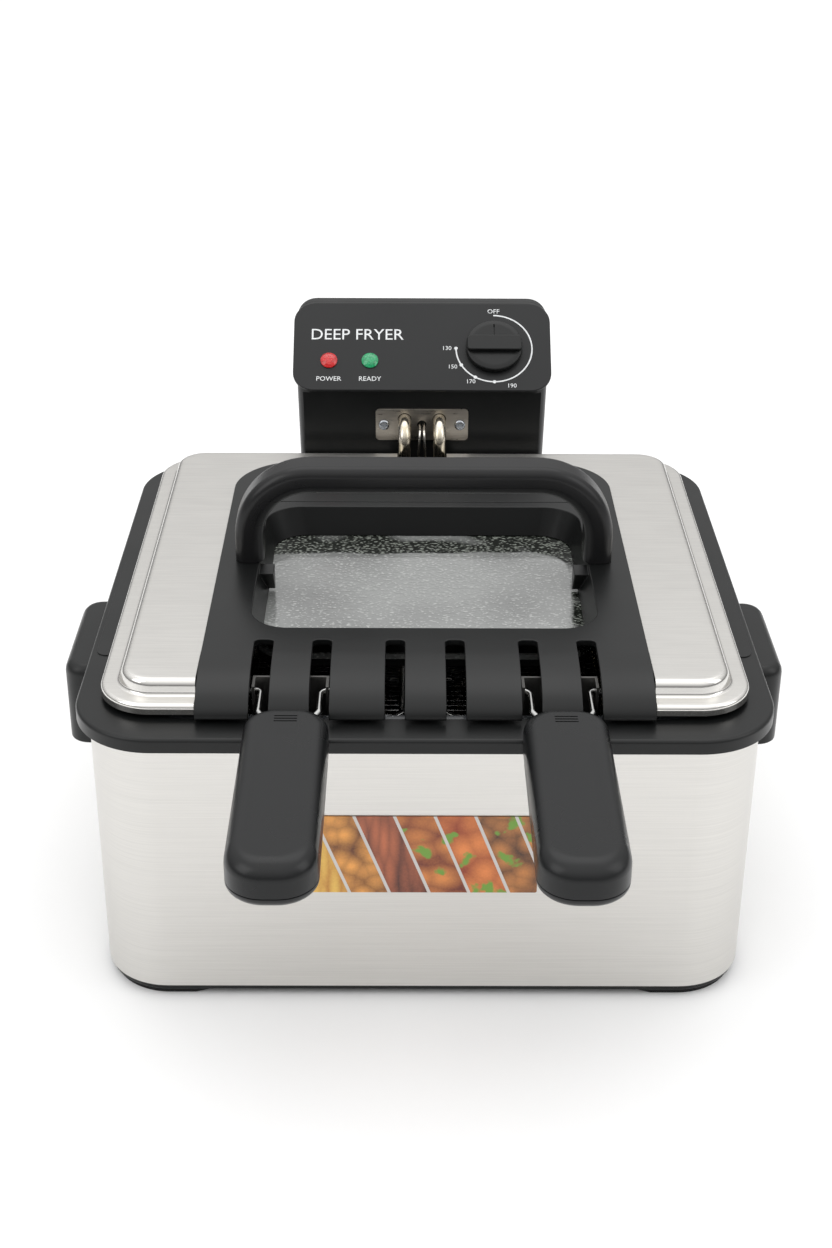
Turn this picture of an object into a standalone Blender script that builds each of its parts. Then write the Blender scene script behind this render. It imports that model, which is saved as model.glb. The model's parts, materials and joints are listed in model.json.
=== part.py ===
"""Twin-basket deep fryer: housing, oil pot, lid, lift-out control unit and two baskets.

Metres, +Z up, front of the fryer towards -Y. The whole model hangs from one empty that
centres it over the origin. Each removable unit hangs from its own empty or stands in the
fryer's frame, and every turning piece hangs from an empty on its own axis.
"""
from math import cos, pi, radians, sin, tan

import bmesh
import bpy

# ---- Driving dimensions -------------------------------------------------------------
GAP = 0.0003                # clearance between pieces that touch
FAR = 0.4                   # past everything, for the cutting tools
ARC_STEPS = 4               # steps in each rounded corner

RIM_WIDTH = 0.380
RIM_DEPTH = 0.374
RIM_CORNER = 0.045
RIM_TOP = 0.1747            # top face above the floor
RIM_SIDE = RIM_WIDTH / 2    # the rim's outer edges, which the other places are counted from
RIM_FRONT = -RIM_DEPTH / 2
RIM_REAR = RIM_DEPTH / 2
RIM_LIP = 0.0083            # height of the rim's outer edge
RIM_OVERHANG = 0.0067       # rim past the steel wrap
PAD_HALF_WIDTH = 0.009      # raised pads beside the lid
PAD_Y = (-0.080, 0.042)
PAD_CORNER = 0.006
PAD_INSET = 0.0035          # in from the rim's edge
PAD_RISE = 0.0006

WRAP_WALL = 0.0009
WRAP_BOTTOM = 0.0074
FOOT_HEIGHT = 0.0034
FOOT_LENGTH = 0.062
TRAY_WALL = 0.0022
TRAY_LIP = 0.014            # height of the tray's lip inside the wrap
FOOT_SCREW_RADIUS = 0.0019

SIDE_GRIP_REACH = 0.0236    # side handle past the steel wrap
SIDE_GRIP_LENGTH = 0.088
SIDE_GRIP_TOP = RIM_TOP - 0.0095
SIDE_GRIP_BOTTOM = RIM_TOP - 0.0597
SIDE_GRIP_Y = -0.049
SIDE_GRIP_WALL = 0.0032

DOCK_HALF_WIDTH = 0.070     # block behind the wrap that the control unit hangs on
DOCK_BOTTOM = RIM_TOP - 0.0447

LABEL_SIZE = (0.124, 0.0004, 0.050)
LABEL_MIDDLE = 0.098

POT_HALF_WIDTH = RIM_SIDE - 0.030      # inside, at the top
POT_FRONT = RIM_FRONT + 0.029
POT_REAR = RIM_REAR - 0.0125
POT_CORNER = 0.034
POT_WALL = 0.0012
POT_FLANGE = 0.0050
POT_BOTTOM = 0.040
POT_TAPER = 0.006
POT_CLEARANCE = 0.0009

LID_WIDTH = RIM_WIDTH - 0.026
LID_FRONT = RIM_FRONT + 0.021
LID_REAR = RIM_REAR - 0.0105
LID_CORNER = 0.030
LID_SHEET = 0.0009
LID_BOTTOM = RIM_TOP + 0.0028
LID_EDGE = ((0.0, 0.0), (0.0006, 0.0030), (0.0026, 0.0050), (0.0085, 0.0056), (0.0105, 0.0070),
            (0.0118, 0.0108), (0.0140, 0.0136), (0.0172, 0.0143))  # (inset, height) of the pressing
NOTCH_HALF = (0.0168, 0.0216)   # rear notch for the heater, half widths front and rear
NOTCH_FRONT = RIM_REAR - 0.038
NOTCH_FLARE = 0.0105        # the notch is widest this far in from the lid's rear edge
REST_Y = (LID_FRONT + 0.051, LID_REAR - 0.0615)    # pads the lid stands on
REST_INSET = (0.0045, 0.0085)

COVER_WIDTH = LID_WIDTH - 0.1084        # black cover on the steel lid
COVER_REAR = RIM_REAR - 0.046
COVER_REAR_CORNER = 0.044
COVER_THICK = 0.0028
COVER_LAP = 0.007           # cover over the steel round its opening
ROLL_FRONT = RIM_FRONT + 0.016
ROLL_START = RIM_FRONT + 0.0604
ROLL_DROP = 0.0177
ROLL_STEPS = 8
SLOT_WIDTH = 0.0106
SLOT_REAR = RIM_FRONT + 0.074
SINGLE_SLOT_X = 0.0164      # pair used by one wide basket

WELL_HALF_WIDTH = COVER_WIDTH / 2 - 0.0241    # window well at its top
WELL_FRONT = RIM_FRONT + 0.088
WELL_REAR = RIM_REAR - 0.121
WELL_CORNER = 0.022
WELL_DEPTH = 0.0182
WELL_DRAFT = 0.3022 * WELL_DEPTH
WELL_WALL = 0.0026
GLASS_THICK = 0.0030
GLASS_LAP = 0.0035
RETAINER_HEIGHT = 0.0040

ARCH_HALF_WIDTH = COVER_WIDTH / 2 - 0.0098     # lid handle, outside
ARCH_RISE = 0.061
ARCH_CORNER = 0.045
ARCH_THICK = 0.017
ARCH_DEPTH = 0.0246
ARCH_Y = (WELL_FRONT + WELL_REAR) / 2 + 0.0112
HANDLE_SCREW_RADIUS = 0.0021
HANDLE_SCREW_LENGTH = 0.016

FILTER_HALF = COVER_WIDTH / 2 - 0.0228
FILTER_Y = (RIM_REAR - 0.113, RIM_REAR - 0.072)
FILTER_CORNER = 0.016
FILTER_THICK = 0.0010
CLIP_HALF = 0.0118
CLIP_Y = (RIM_REAR - 0.0568, RIM_REAR - 0.0418)

PANEL_HALF_WIDTH = 0.089
UNIT_HALF_WIDTH = PANEL_HALF_WIDTH - 0.0026    # control unit
UNIT_FRONT = RIM_REAR - 0.003
UNIT_REAR = RIM_REAR + 0.060
UNIT_BOTTOM = RIM_TOP - 0.0527
UNIT_WALL = 0.0024
UNIT_SEAM = RIM_REAR + 0.052
PANEL_TILT = 40             # degrees from level
PANEL_FOOT = (RIM_REAR - 0.0075, RIM_TOP + 0.0559)   # Y and Z of the panel's lower edge
PANEL_LENGTH = 0.070
PANEL_CORNER = 0.0145
PANEL_THICK = 0.0020

KNOB_RADIUS = 0.0195
KNOB_HEIGHT = 0.0090
KNOB_X = PANEL_HALF_WIDTH - 0.0393
KNOB_UP = PANEL_LENGTH / 2 - 0.0013
SHAFT_RADIUS = 0.0030
SHAFT_CLEARANCE = 0.0006
LENS_RADIUS = 0.0058
LENS_STEM = 0.0040
LENS_UP = PANEL_LENGTH / 2 - 0.0113
POWER_LENS_X = 0.0247 - PANEL_HALF_WIDTH
READY_LENS_X = POWER_LENS_X + 0.0283

PLATE_HALF = (0.032, 0.0115)
PLATE_THICK = 0.0012
PLATE_Z = RIM_TOP + 0.0300
PLATE_SCREW_X = 0.0262
TUBE_RADIUS = 0.0044
TUBE_X = 0.012
TUBE_Z = RIM_TOP + 0.0343
RISER_Y = RIM_REAR - 0.0205
LOOP_Z = POT_BOTTOM + 0.0095
LOOP_X = [share * (POT_HALF_WIDTH - 0.035) for share in (1.0, 0.6, 0.2)]
LOOP_Y = (RIM_REAR - 0.049, RIM_REAR - 0.095, RIM_FRONT + 0.063)
TUBE_CLEARANCE = 0.0004
BULB_RADIUS = 0.0026
BULB_X = 0.0040
BULB_Z = (POT_BOTTOM + 0.032, POT_BOTTOM + 0.095)
CAPILLARY_RADIUS = 0.0009
CAPILLARY_X = 0.0014
SENSOR_CLIP_Z = POT_BOTTOM + 0.060

SWITCH_SIZE = (0.020, 0.0065, 0.016)    # safety switch behind the unit's front wall
SWITCH_Z = RIM_TOP - 0.0267
BUTTON_RADIUS = 0.0050
BUTTON_X = 0.045
BUTTON_Z = RIM_TOP - 0.0247
BUTTON_TRAVEL = 0.0020
BUTTON_PROUD = 0.0032
INLET_X = -0.040
INLET_HALF = (0.0135, 0.0100)
INLET_DEPTH = 0.016

BASKET_SIDES = (0.0088, POT_HALF_WIDTH - 0.0232)      # inner and outer side of each basket
BASKET_X = (BASKET_SIDES[0] + BASKET_SIDES[1]) / 2    # middle of each basket and grip
BASKET_HALF_WIDTH = (BASKET_SIDES[1] - BASKET_SIDES[0]) / 2
BASKET_FRONT = RIM_FRONT + 0.0485
BASKET_REAR = RIM_REAR - 0.071
BASKET_TOP = RIM_TOP - 0.0147
BASKET_BOTTOM = POT_BOTTOM + 0.022
BASKET_WALL = 0.0020
BASKET_CORNER = 0.022
BASKET_TAPER = 0.005

WIRE_RADIUS = 0.0020
WIRE_X = 0.0161
WIRE_Z = RIM_TOP + 0.0068
WIRE_CLEARANCE = 0.0004
PIVOT_Y = BASKET_FRONT - 0.0085
CHEEK_X = 0.0192
CHEEK_THICK = 0.0015
CHEEK_TOP = RIM_TOP + 0.0118
CHEEK_BOTTOM = RIM_TOP - 0.0567

GRIP_WIDTH = 0.0446
GRIP_REAR = RIM_FRONT + 0.010
GRIP_FRONT = RIM_FRONT - 0.137
GRIP_TOP = WIRE_Z + 0.0088
GRIP_SEAM = WIRE_Z - 0.0087
GRIP_BOTTOM = WIRE_Z - 0.0163
GRIP_WALL = 0.0028
GRIP_CORNER = 0.019
GRIP_WIRE_X = 0.0090
WIRE_BEND = 0.008           # the wires close in over this much either side of the grip's end
GRIP_SCREW_Y = GRIP_REAR - 0.055
GRIP_SCREW_RADIUS = 0.0020

# ---- Sizes that follow ---------------------------------------------------------------
WRAP_HALF = (RIM_SIDE - RIM_OVERHANG, RIM_REAR - RIM_OVERHANG)
WRAP_CORNER = RIM_CORNER - RIM_OVERHANG
WRAP_TOP = RIM_TOP - RIM_LIP - GAP
SEAT_Z = RIM_TOP - 0.0026                   # shelf in the rim that carries the pot's flange
LID_TOP = LID_BOTTOM + LID_EDGE[-1][1]
COVER_TOP = LID_TOP + GAP + COVER_THICK
GLASS_TOP = COVER_TOP - WELL_DEPTH
SLOT_XS = [side * x for side in (-1, 1)
           for x in (SINGLE_SLOT_X, BASKET_X - WIRE_X, BASKET_X + WIRE_X)]
MODEL_MIDDLE_Y = (GRIP_FRONT + UNIT_REAR + BUTTON_PROUD) / 2
UNIT_TOP_X = PANEL_HALF_WIDTH - 0.0015
COVER_DROP = PANEL_THICK + GAP              # sloping wall below the panel's face


# ---- Helpers ---------------------------------------------------------------------------
def clear_scene():
    for thing in list(bpy.data.objects):
        bpy.data.objects.remove(thing, do_unlink=True)


def surface(name, colour, roughness, metallic=0.0, transmission=0.0):
    """A Principled material of one finish."""
    material = bpy.data.materials.new(name)
    material.use_nodes = True
    shader = material.node_tree.nodes["Principled BSDF"]
    shader.inputs["Base Color"].default_value = (*colour, 1.0)
    shader.inputs["Roughness"].default_value = roughness
    shader.inputs["Metallic"].default_value = metallic
    shader.inputs["Transmission Weight"].default_value = transmission
    material.diffuse_color = (*colour, 1.0)
    return material


def empty(name, location=(0, 0, 0), parent=None, tilt=0.0):
    holder = bpy.data.objects.new(name, None)
    bpy.context.scene.collection.objects.link(holder)
    holder.location = location
    holder.rotation_euler = (tilt, 0, 0)
    holder.parent = parent
    return holder


def finish(bm, name, material, parent, location=(0, 0, 0), smooth=35):
    """A closed bmesh made into an object, with its faces turned outwards."""
    bmesh.ops.recalc_face_normals(bm, faces=bm.faces)
    mesh = bpy.data.meshes.new(name)
    bm.to_mesh(mesh)
    bm.free()
    if smooth:
        mesh.shade_smooth()
        mesh.set_sharp_from_angle(angle=radians(smooth))
    piece = bpy.data.objects.new(name, mesh)
    bpy.context.scene.collection.objects.link(piece)
    piece.location = location
    piece.parent = parent
    if material:
        mesh.materials.append(material)
    return piece


def loft(name, rings, material, parent, location=(0, 0, 0), hollow=False, smooth=35):
    """Rings of points bridged in order: capped at both ends, or joined last to first."""
    bm = bmesh.new()
    rows = [[bm.verts.new(point) for point in ring] for ring in rings]
    pairs = list(zip(rows, rows[1:]))
    if hollow:
        pairs.append((rows[-1], rows[0]))
    else:
        bm.faces.new(list(reversed(rows[0])))
        bm.faces.new(rows[-1])
    for low, high in pairs:
        for i in range(len(low)):
            j = (i + 1) % len(low)
            bm.faces.new((low[i], low[j], high[j], high[i]))
    return finish(bm, name, material, parent, location, smooth)


def rounded(half_x, low_y, high_y, corner, z, rear_corner=None, x=0.0):
    """A rounded rectangle at height z, counter-clockwise seen from above."""
    rear = corner if rear_corner is None else rear_corner
    points = []
    for side_x, edge_y, radius, start in ((1, high_y, rear, 0), (-1, high_y, rear, 90),
                                          (-1, low_y, corner, 180), (1, low_y, corner, 270)):
        side_y = 1 if edge_y == high_y else -1
        for step in range(ARC_STEPS + 1):
            turn = radians(start + 90 * step / ARC_STEPS)
            points.append((x + side_x * (half_x - radius) + radius * cos(turn),
                           edge_y - side_y * radius + radius * sin(turn), z))
    return points


def box(name, low, high, material=None, parent=None, bevel=0.0):
    """A block between two corners, with small bevels where asked."""
    ring = [(low[0], low[1]), (high[0], low[1]), (high[0], high[1]), (low[0], high[1])]
    piece = loft(name, [[(x, y, z) for x, y in ring] for z in (low[2], high[2])],
                 material, parent, smooth=0)
    if bevel:
        add_bevel(piece, bevel)
    return piece


def disc(name, profile, material=None, parent=None, location=(0, 0, 0), axis="Z", sides=20):
    """A turned piece: profile is (radius, distance along the axis), from one end to the other."""
    rings = []
    for radius, along in profile:
        ring = []
        for step in range(sides):
            turn = 2 * pi * step / sides
            a, b = radius * cos(turn), radius * sin(turn)
            ring.append({"Z": (a, b, along), "Y": (b, along, a), "X": (along, a, b)}[axis])
        rings.append(ring)
    return loft(name, rings, material, parent, location)


def filleted(corners, radius, steps=3):
    """A route through corner points with each corner rounded to a radius."""
    route = [corners[0]]
    for before, corner, after in zip(corners, corners[1:], corners[2:]):
        back = [b - c for b, c in zip(before, corner)]
        ahead = [a - c for a, c in zip(after, corner)]
        back_size = sum(v * v for v in back) ** 0.5
        ahead_size = sum(v * v for v in ahead) ** 0.5
        reach = min(radius, 0.49 * back_size, 0.49 * ahead_size)
        start = [c + v / back_size * reach for c, v in zip(corner, back)]
        end = [c + v / ahead_size * reach for c, v in zip(corner, ahead)]
        for step in range(steps + 1):
            t = step / steps
            route.append(tuple((1 - t) ** 2 * s + 2 * t * (1 - t) * c + t * t * e
                               for s, c, e in zip(start, corner, end)))
    route.append(corners[-1])
    return route


def tube(name, route, radius, material, parent, location=(0, 0, 0), thick=None, cyclic=False):
    """A round bar along a route; thick gives each point's share of the radius."""
    curve = bpy.data.curves.new(name, "CURVE")
    curve.dimensions = "3D"
    curve.bevel_depth = radius
    curve.bevel_resolution = 1
    curve.use_fill_caps = not cyclic
    spline = curve.splines.new("POLY")
    spline.points.add(len(route) - 1)
    for index, (point, target) in enumerate(zip(route, spline.points)):
        target.co = (*point, 1.0)
        target.radius = thick[index] if thick else 1.0
    spline.use_cyclic_u = cyclic
    spline.use_smooth = True
    piece = bpy.data.objects.new(name, curve)
    bpy.context.scene.collection.objects.link(piece)
    piece.location = location
    piece.parent = parent
    if material:
        curve.materials.append(material)
    return piece


def add_bevel(piece, width, angle=40):
    bevel = piece.modifiers.new("Edges", "BEVEL")
    bevel.width = width
    bevel.segments = 2
    bevel.limit_method = "ANGLE"
    bevel.angle_limit = radians(angle)


def carve(piece, tool, operation="DIFFERENCE"):
    """Cut with, keep inside, or join a hidden tool solid."""
    tool.hide_render = True
    tool.display_type = "WIRE"
    step = piece.modifiers.new(operation.title(), "BOOLEAN")
    step.operation = operation
    step.solver = "EXACT"
    step.object = tool
    return piece


def bore(piece, radius, centre, length, axis, parent):
    """A round hole of a length centred on a point."""
    tool = disc("hole_tool", [(radius, -length / 2), (radius, length / 2)], None, parent,
                centre, axis, sides=16)
    carve(piece, tool)


# ---- Housing and base ------------------------------------------------------------------
def make_housing(root, steel, black, label_white, dark_metal):
    half_x, half_y = WRAP_HALF
    rings = []
    for inset, z in ((0, WRAP_BOTTOM), (0, WRAP_TOP), (WRAP_WALL, WRAP_TOP), (WRAP_WALL, WRAP_BOTTOM)):
        rings.append(rounded(half_x - inset, inset - half_y, half_y - inset, WRAP_CORNER - inset, z))
    loft("housing_shell", rings, steel, root, hollow=True)

    edge = 0.0018
    inner = WRAP_WALL + GAP
    levels = ((edge + 0.002, FOOT_HEIGHT + GAP), (edge, FOOT_HEIGHT + 0.0022),
              (edge, WRAP_BOTTOM - GAP), (inner, WRAP_BOTTOM - GAP),
              (inner, WRAP_BOTTOM + TRAY_LIP), (inner + TRAY_WALL, WRAP_BOTTOM + TRAY_LIP),
              (inner + TRAY_WALL, FOOT_HEIGHT + GAP + TRAY_WALL))
    rings = [rounded(half_x - i, i - half_y, half_y - i, WRAP_CORNER - i, z) for i, z in levels]
    tray = loft("base_tray", rings, black, root)
    corners = {"front_left": (-1, -1), "front_right": (1, -1), "rear_left": (-1, 1),
               "rear_right": (1, 1)}
    for place, (side_x, side_y) in corners.items():
        make_foot(place, side_x, side_y, tray, root, black, dark_metal)

    dock_y = half_y + GAP
    box("unit_dock", (-DOCK_HALF_WIDTH, dock_y, DOCK_BOTTOM),
        (DOCK_HALF_WIDTH, RIM_REAR - GAP, WRAP_TOP - 2 * GAP), black, root, bevel=0.0015)

    label_y = -half_y - GAP
    box("front_label", (-LABEL_SIZE[0] / 2, label_y - LABEL_SIZE[1], LABEL_MIDDLE - LABEL_SIZE[2] / 2),
        (LABEL_SIZE[0] / 2, label_y, LABEL_MIDDLE + LABEL_SIZE[2] / 2), label_white, root)


def make_foot(place, side_x, side_y, tray, root, black, dark_metal):
    """A corner foot with sloped ends, screwed to the tray from below."""
    outer = 0.0032
    middle = (side_x * (WRAP_HALF[0] - outer - FOOT_LENGTH / 2),
              side_y * (WRAP_HALF[1] - outer - FOOT_LENGTH / 2))
    half = FOOT_LENGTH / 2
    rings = []
    for slope, z in ((0.006, 0.0), (0.0, FOOT_HEIGHT)):
        size = half - slope
        ring = rounded(size, -size, size, 0.012, z)
        rings.append([(x + side_x * slope * 0.6, y + side_y * slope * 0.6, h) for x, y, h in ring])
    foot = loft("foot_" + place, rings, black, root, (*middle, 0))
    keep = rounded(WRAP_HALF[0] - outer, outer - WRAP_HALF[1], WRAP_HALF[1] - outer,
                   WRAP_CORNER - outer, 0)
    tool = loft("foot_tool", [[(x, y, z) for x, y, _ in keep] for z in (-0.01, 0.02)], None, root)
    carve(foot, tool, "INTERSECT")
    head, shank = FOOT_SCREW_RADIUS * 2, FOOT_SCREW_RADIUS
    bore(foot, head + GAP, (*middle, 0.0), 0.0036, "Z", root)
    bore(foot, shank + GAP, (*middle, 0.0), 0.02, "Z", root)
    bore(tray, shank + GAP, (*middle, FOOT_HEIGHT), 0.02, "Z", root)
    screw_top = FOOT_HEIGHT + GAP + TRAY_WALL + 0.004
    disc("foot_screw_" + place, [(head * 0.9, 0.0004), (head, 0.0008), (head, 0.0015),
                                 (shank, 0.0015), (shank, screw_top), (shank * 0.5, screw_top + 0.001)],
         dark_metal, root, (*middle, 0), sides=14)


def make_rim(root, black):
    """Frame on top of the wrap, with a shelf round the opening for the pot's flange."""
    half_x, half_y = RIM_SIDE, RIM_REAR
    opening = (POT_HALF_WIDTH + POT_WALL + POT_CLEARANCE, POT_FRONT - POT_WALL - POT_CLEARANCE,
               POT_REAR + POT_WALL + POT_CLEARANCE)
    low = RIM_TOP - RIM_LIP
    rings = [rounded(half_x, -half_y, half_y, RIM_CORNER, low),
             rounded(half_x, -half_y, half_y, RIM_CORNER, RIM_TOP - 0.0015),
             rounded(half_x - 0.0015, 0.0015 - half_y, half_y - 0.0015, RIM_CORNER - 0.0015, RIM_TOP)]
    shelf = POT_FLANGE
    corner = POT_CORNER + POT_WALL + POT_CLEARANCE
    for grow, z in ((shelf, RIM_TOP), (shelf, SEAT_Z), (0, SEAT_Z), (0, low)):
        rings.append(rounded(opening[0] + grow, opening[1] - grow, opening[2] + grow, corner + grow, z))
    rim = loft("rim_frame", rings, black, root, hollow=True)
    for side in (-1, 1):
        x = side * (half_x - PAD_INSET - PAD_HALF_WIDTH)
        ring = rounded(PAD_HALF_WIDTH, *PAD_Y, PAD_CORNER, 0, x=x)
        pad = loft("pad_tool", [[(a, b, z) for a, b, _ in ring]
                                for z in (RIM_TOP - 0.001, RIM_TOP + PAD_RISE)], None, root)
        carve(rim, pad, "UNION")


def make_side_handles(root, black):
    """Loop handles beside the housing, hollow below for the fingers."""
    inner = WRAP_HALF[0] + GAP
    for name, side in (("side_handle_left", -1), ("side_handle_right", 1)):
        wall = SIDE_GRIP_WALL
        outside = ((0.0, SIDE_GRIP_BOTTOM), (0.0, SIDE_GRIP_TOP - 0.007),
                   (0.0020, SIDE_GRIP_TOP - 0.0028), (0.0065, SIDE_GRIP_TOP))
        recess = ((wall, SIDE_GRIP_BOTTOM - 0.01), (wall, SIDE_GRIP_TOP - 0.009),
                  (wall + 0.004, SIDE_GRIP_TOP - wall))
        piece = loft(name, [side_section(side, inner, inset, z) for inset, z in outside], black, root)
        tool = loft("recess_tool", [side_section(side, inner + wall, inset, z) for inset, z in recess],
                    None, root)
        carve(piece, tool)


def side_section(side, inner, inset, z):
    """Level section of a side handle: flat against the wrap, rounded outside."""
    outer = WRAP_HALF[0] + SIDE_GRIP_REACH - inset
    low_y = SIDE_GRIP_Y - SIDE_GRIP_LENGTH / 2 + inset
    high_y = SIDE_GRIP_Y + SIDE_GRIP_LENGTH / 2 - inset
    radius = 0.012 - inset * 0.5
    points = [(inner, low_y)]
    for y, start in ((low_y + radius, -90), (high_y - radius, 0)):
        for step in range(ARC_STEPS + 1):
            turn = radians(start + 90 * step / ARC_STEPS)
            points.append((outer - radius + radius * cos(turn), y + radius * sin(turn)))
    points.append((inner, high_y))
    if side < 0:
        points = [(-x, y) for x, y in reversed(points)]
    return [(x, y, z) for x, y in points]


# ---- Oil pot ---------------------------------------------------------------------------
def make_pot(root, enamel):
    """Drawn pot hung from its flange; its rear wall stays upright behind the heater."""
    wall, corner = POT_WALL, POT_CORNER
    flange = wall + POT_FLANGE - GAP
    seat = SEAT_Z + GAP
    floor_in, curl = POT_TAPER + 0.012, POT_TAPER + 0.002
    levels = ((floor_in, 0.012, POT_BOTTOM), (curl, 0.001, POT_BOTTOM + 0.010), (-wall, -wall, seat),
              (-flange, -flange, seat), (-flange, -flange, seat + wall), (0.0, 0.0, seat + wall),
              (curl + wall, 0.001 + wall, POT_BOTTOM + 0.011),
              (floor_in + wall, 0.012 + wall, POT_BOTTOM + wall))
    rings = [rounded(POT_HALF_WIDTH - i, POT_FRONT + i, POT_REAR - rear_in, corner - min(i, 0.004), z)
             for i, rear_in, z in levels]
    loft("oil_pot", rings, enamel, root)


# ---- Control unit ----------------------------------------------------------------------
def sloped_front(z):
    """Where the unit's sloping wall stands at height z, under the panel."""
    tilt = radians(PANEL_TILT)
    foot_y = PANEL_FOOT[0] + COVER_DROP * sin(tilt)
    foot_z = PANEL_FOOT[1] - COVER_DROP * cos(tilt)
    return foot_y + (z - foot_z) / tan(tilt)


def unit_levels(inset):
    """Level sections of the control unit: (half width, front, rear, corner, height)."""
    tilt = radians(PANEL_TILT)
    neck = RIM_TOP + 0.0022
    rim_rear = RIM_REAR + 2 * GAP
    foot_z = PANEL_FOOT[1] - COVER_DROP * cos(tilt)
    top_z = foot_z + PANEL_LENGTH * sin(tilt)
    half = UNIT_HALF_WIDTH - inset
    rear = UNIT_REAR - inset
    round_off = 0.011 - inset
    levels = [(half - 0.004, rim_rear + inset, rear, round_off, UNIT_BOTTOM + inset),
              (half - 0.001, rim_rear + inset, rear, round_off, neck + inset - 0.0006),
              (half - 0.001, UNIT_FRONT + inset, rear, round_off, neck + inset),
              (half, UNIT_FRONT + inset, rear, round_off, foot_z - 0.012),
              (UNIT_TOP_X - inset, sloped_front(foot_z) + inset + 0.0006, rear, round_off, foot_z - 0.002)]
    slope_in = inset / sin(tilt)
    corner = PANEL_CORNER
    for step in range(ARC_STEPS + 1):
        turn = radians(90 * step / ARC_STEPS)
        z = top_z - corner * (1 - sin(turn)) * sin(tilt) - inset
        narrow = corner * (1 - cos(turn))
        front = sloped_front(z) + slope_in
        levels.append((UNIT_TOP_X - inset - narrow, front, rear, min(round_off, (rear - front) * 0.45), z))
    return levels


def make_unit_covers(unit, black):
    """Front cover with the sloping face, and the rear cover that closes it."""
    outer = [rounded(*level[:4], level[4]) for level in unit_levels(0.0)]
    inner = [rounded(*level[:4], level[4]) for level in unit_levels(UNIT_WALL)]
    front = loft("control_front_cover", outer, black, unit)
    rear = loft("control_rear_cover", outer, black, unit)
    cavity = loft("cavity_tool", inner, None, unit)
    behind = box("behind_tool", (-FAR, UNIT_SEAM, 0), (FAR, FAR, FAR), None, unit)
    ahead = box("ahead_tool", (-FAR, 0, 0), (FAR, UNIT_SEAM + GAP, FAR), None, unit)
    carve(carve(front, cavity), behind)
    carve(carve(rear, cavity), ahead)
    return front, rear


def make_panel(unit, front, fascia_black, red, green, dark_metal, knob_body):
    """Sloping fascia, two lenses, the thermostat and its knob, in the panel's own frame."""
    panel = empty("panel_frame", (0, *PANEL_FOOT), unit, radians(PANEL_TILT))
    rings = []
    for inset, z in ((0.0004, -PANEL_THICK), (0.0, -PANEL_THICK + 0.0004), (0.0, -0.0006), (0.0006, 0.0)):
        rings.append(rounded(PANEL_HALF_WIDTH - inset, inset, PANEL_LENGTH - inset,
                             PANEL_CORNER - inset, z))
    fascia = loft("panel_fascia", rings, fascia_black, panel)
    depth = 0.012
    for name, x, finish_of in (("power_lens", POWER_LENS_X, red), ("ready_lens", READY_LENS_X, green)):
        place = (x, LENS_UP, 0)
        for piece in (fascia, front):
            bore(piece, LENS_STEM + GAP, place, 2 * depth, "Z", panel)
        dome = [(LENS_RADIUS * cos(radians(a)), GAP + 0.0006 + 0.0024 * sin(radians(a)))
                for a in (0, 30, 60, 85)]
        disc(name, [(LENS_STEM, -0.009), (LENS_STEM, GAP), (LENS_RADIUS, GAP)] + dome,
             finish_of, panel, place)
    place = (KNOB_X, KNOB_UP, 0)
    for piece in (fascia, front):
        bore(piece, SHAFT_RADIUS + SHAFT_CLEARANCE, place, 2 * depth, "Z", panel)
    body_top = -COVER_DROP - UNIT_WALL - 0.0008
    body = disc("thermostat_body", [(0.0155, body_top - 0.016), (0.0165, body_top - 0.015),
                                    (0.0165, body_top - 0.001), (0.0155, body_top)],
                dark_metal, panel, place)
    bore(body, SHAFT_RADIUS + SHAFT_CLEARANCE, (KNOB_X, KNOB_UP, body_top), 0.014, "Z", panel)

    knob_axis = empty("knob_axis", place, panel)
    seat = 0.0008
    knob = disc("thermostat_knob", [(KNOB_RADIUS, seat), (KNOB_RADIUS, KNOB_HEIGHT * 0.40),
                                    (KNOB_RADIUS - 0.0008, KNOB_HEIGHT * 0.52),
                                    (KNOB_RADIUS - 0.0030, KNOB_HEIGHT * 0.58)],
                knob_body, knob_axis, sides=28)
    bar = loft("bar_tool", [[(x, y, z) for x, y, _ in
                             rounded(KNOB_RADIUS - 0.0008 - i, i - 0.0058, 0.0058 - i, 0.0026 - i, 0)]
                            for i, z in ((0, KNOB_HEIGHT * 0.3), (0, KNOB_HEIGHT - 0.0008),
                                         (0.0008, KNOB_HEIGHT))], None, knob_axis)
    carve(knob, bar, "UNION")
    bore(knob, SHAFT_RADIUS + GAP, (0, 0, seat), 0.010, "Z", knob_axis)
    disc("knob_shaft", [(SHAFT_RADIUS, body_top - 0.005), (SHAFT_RADIUS, seat + 0.0045)],
         dark_metal, knob_axis, sides=16)


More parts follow.
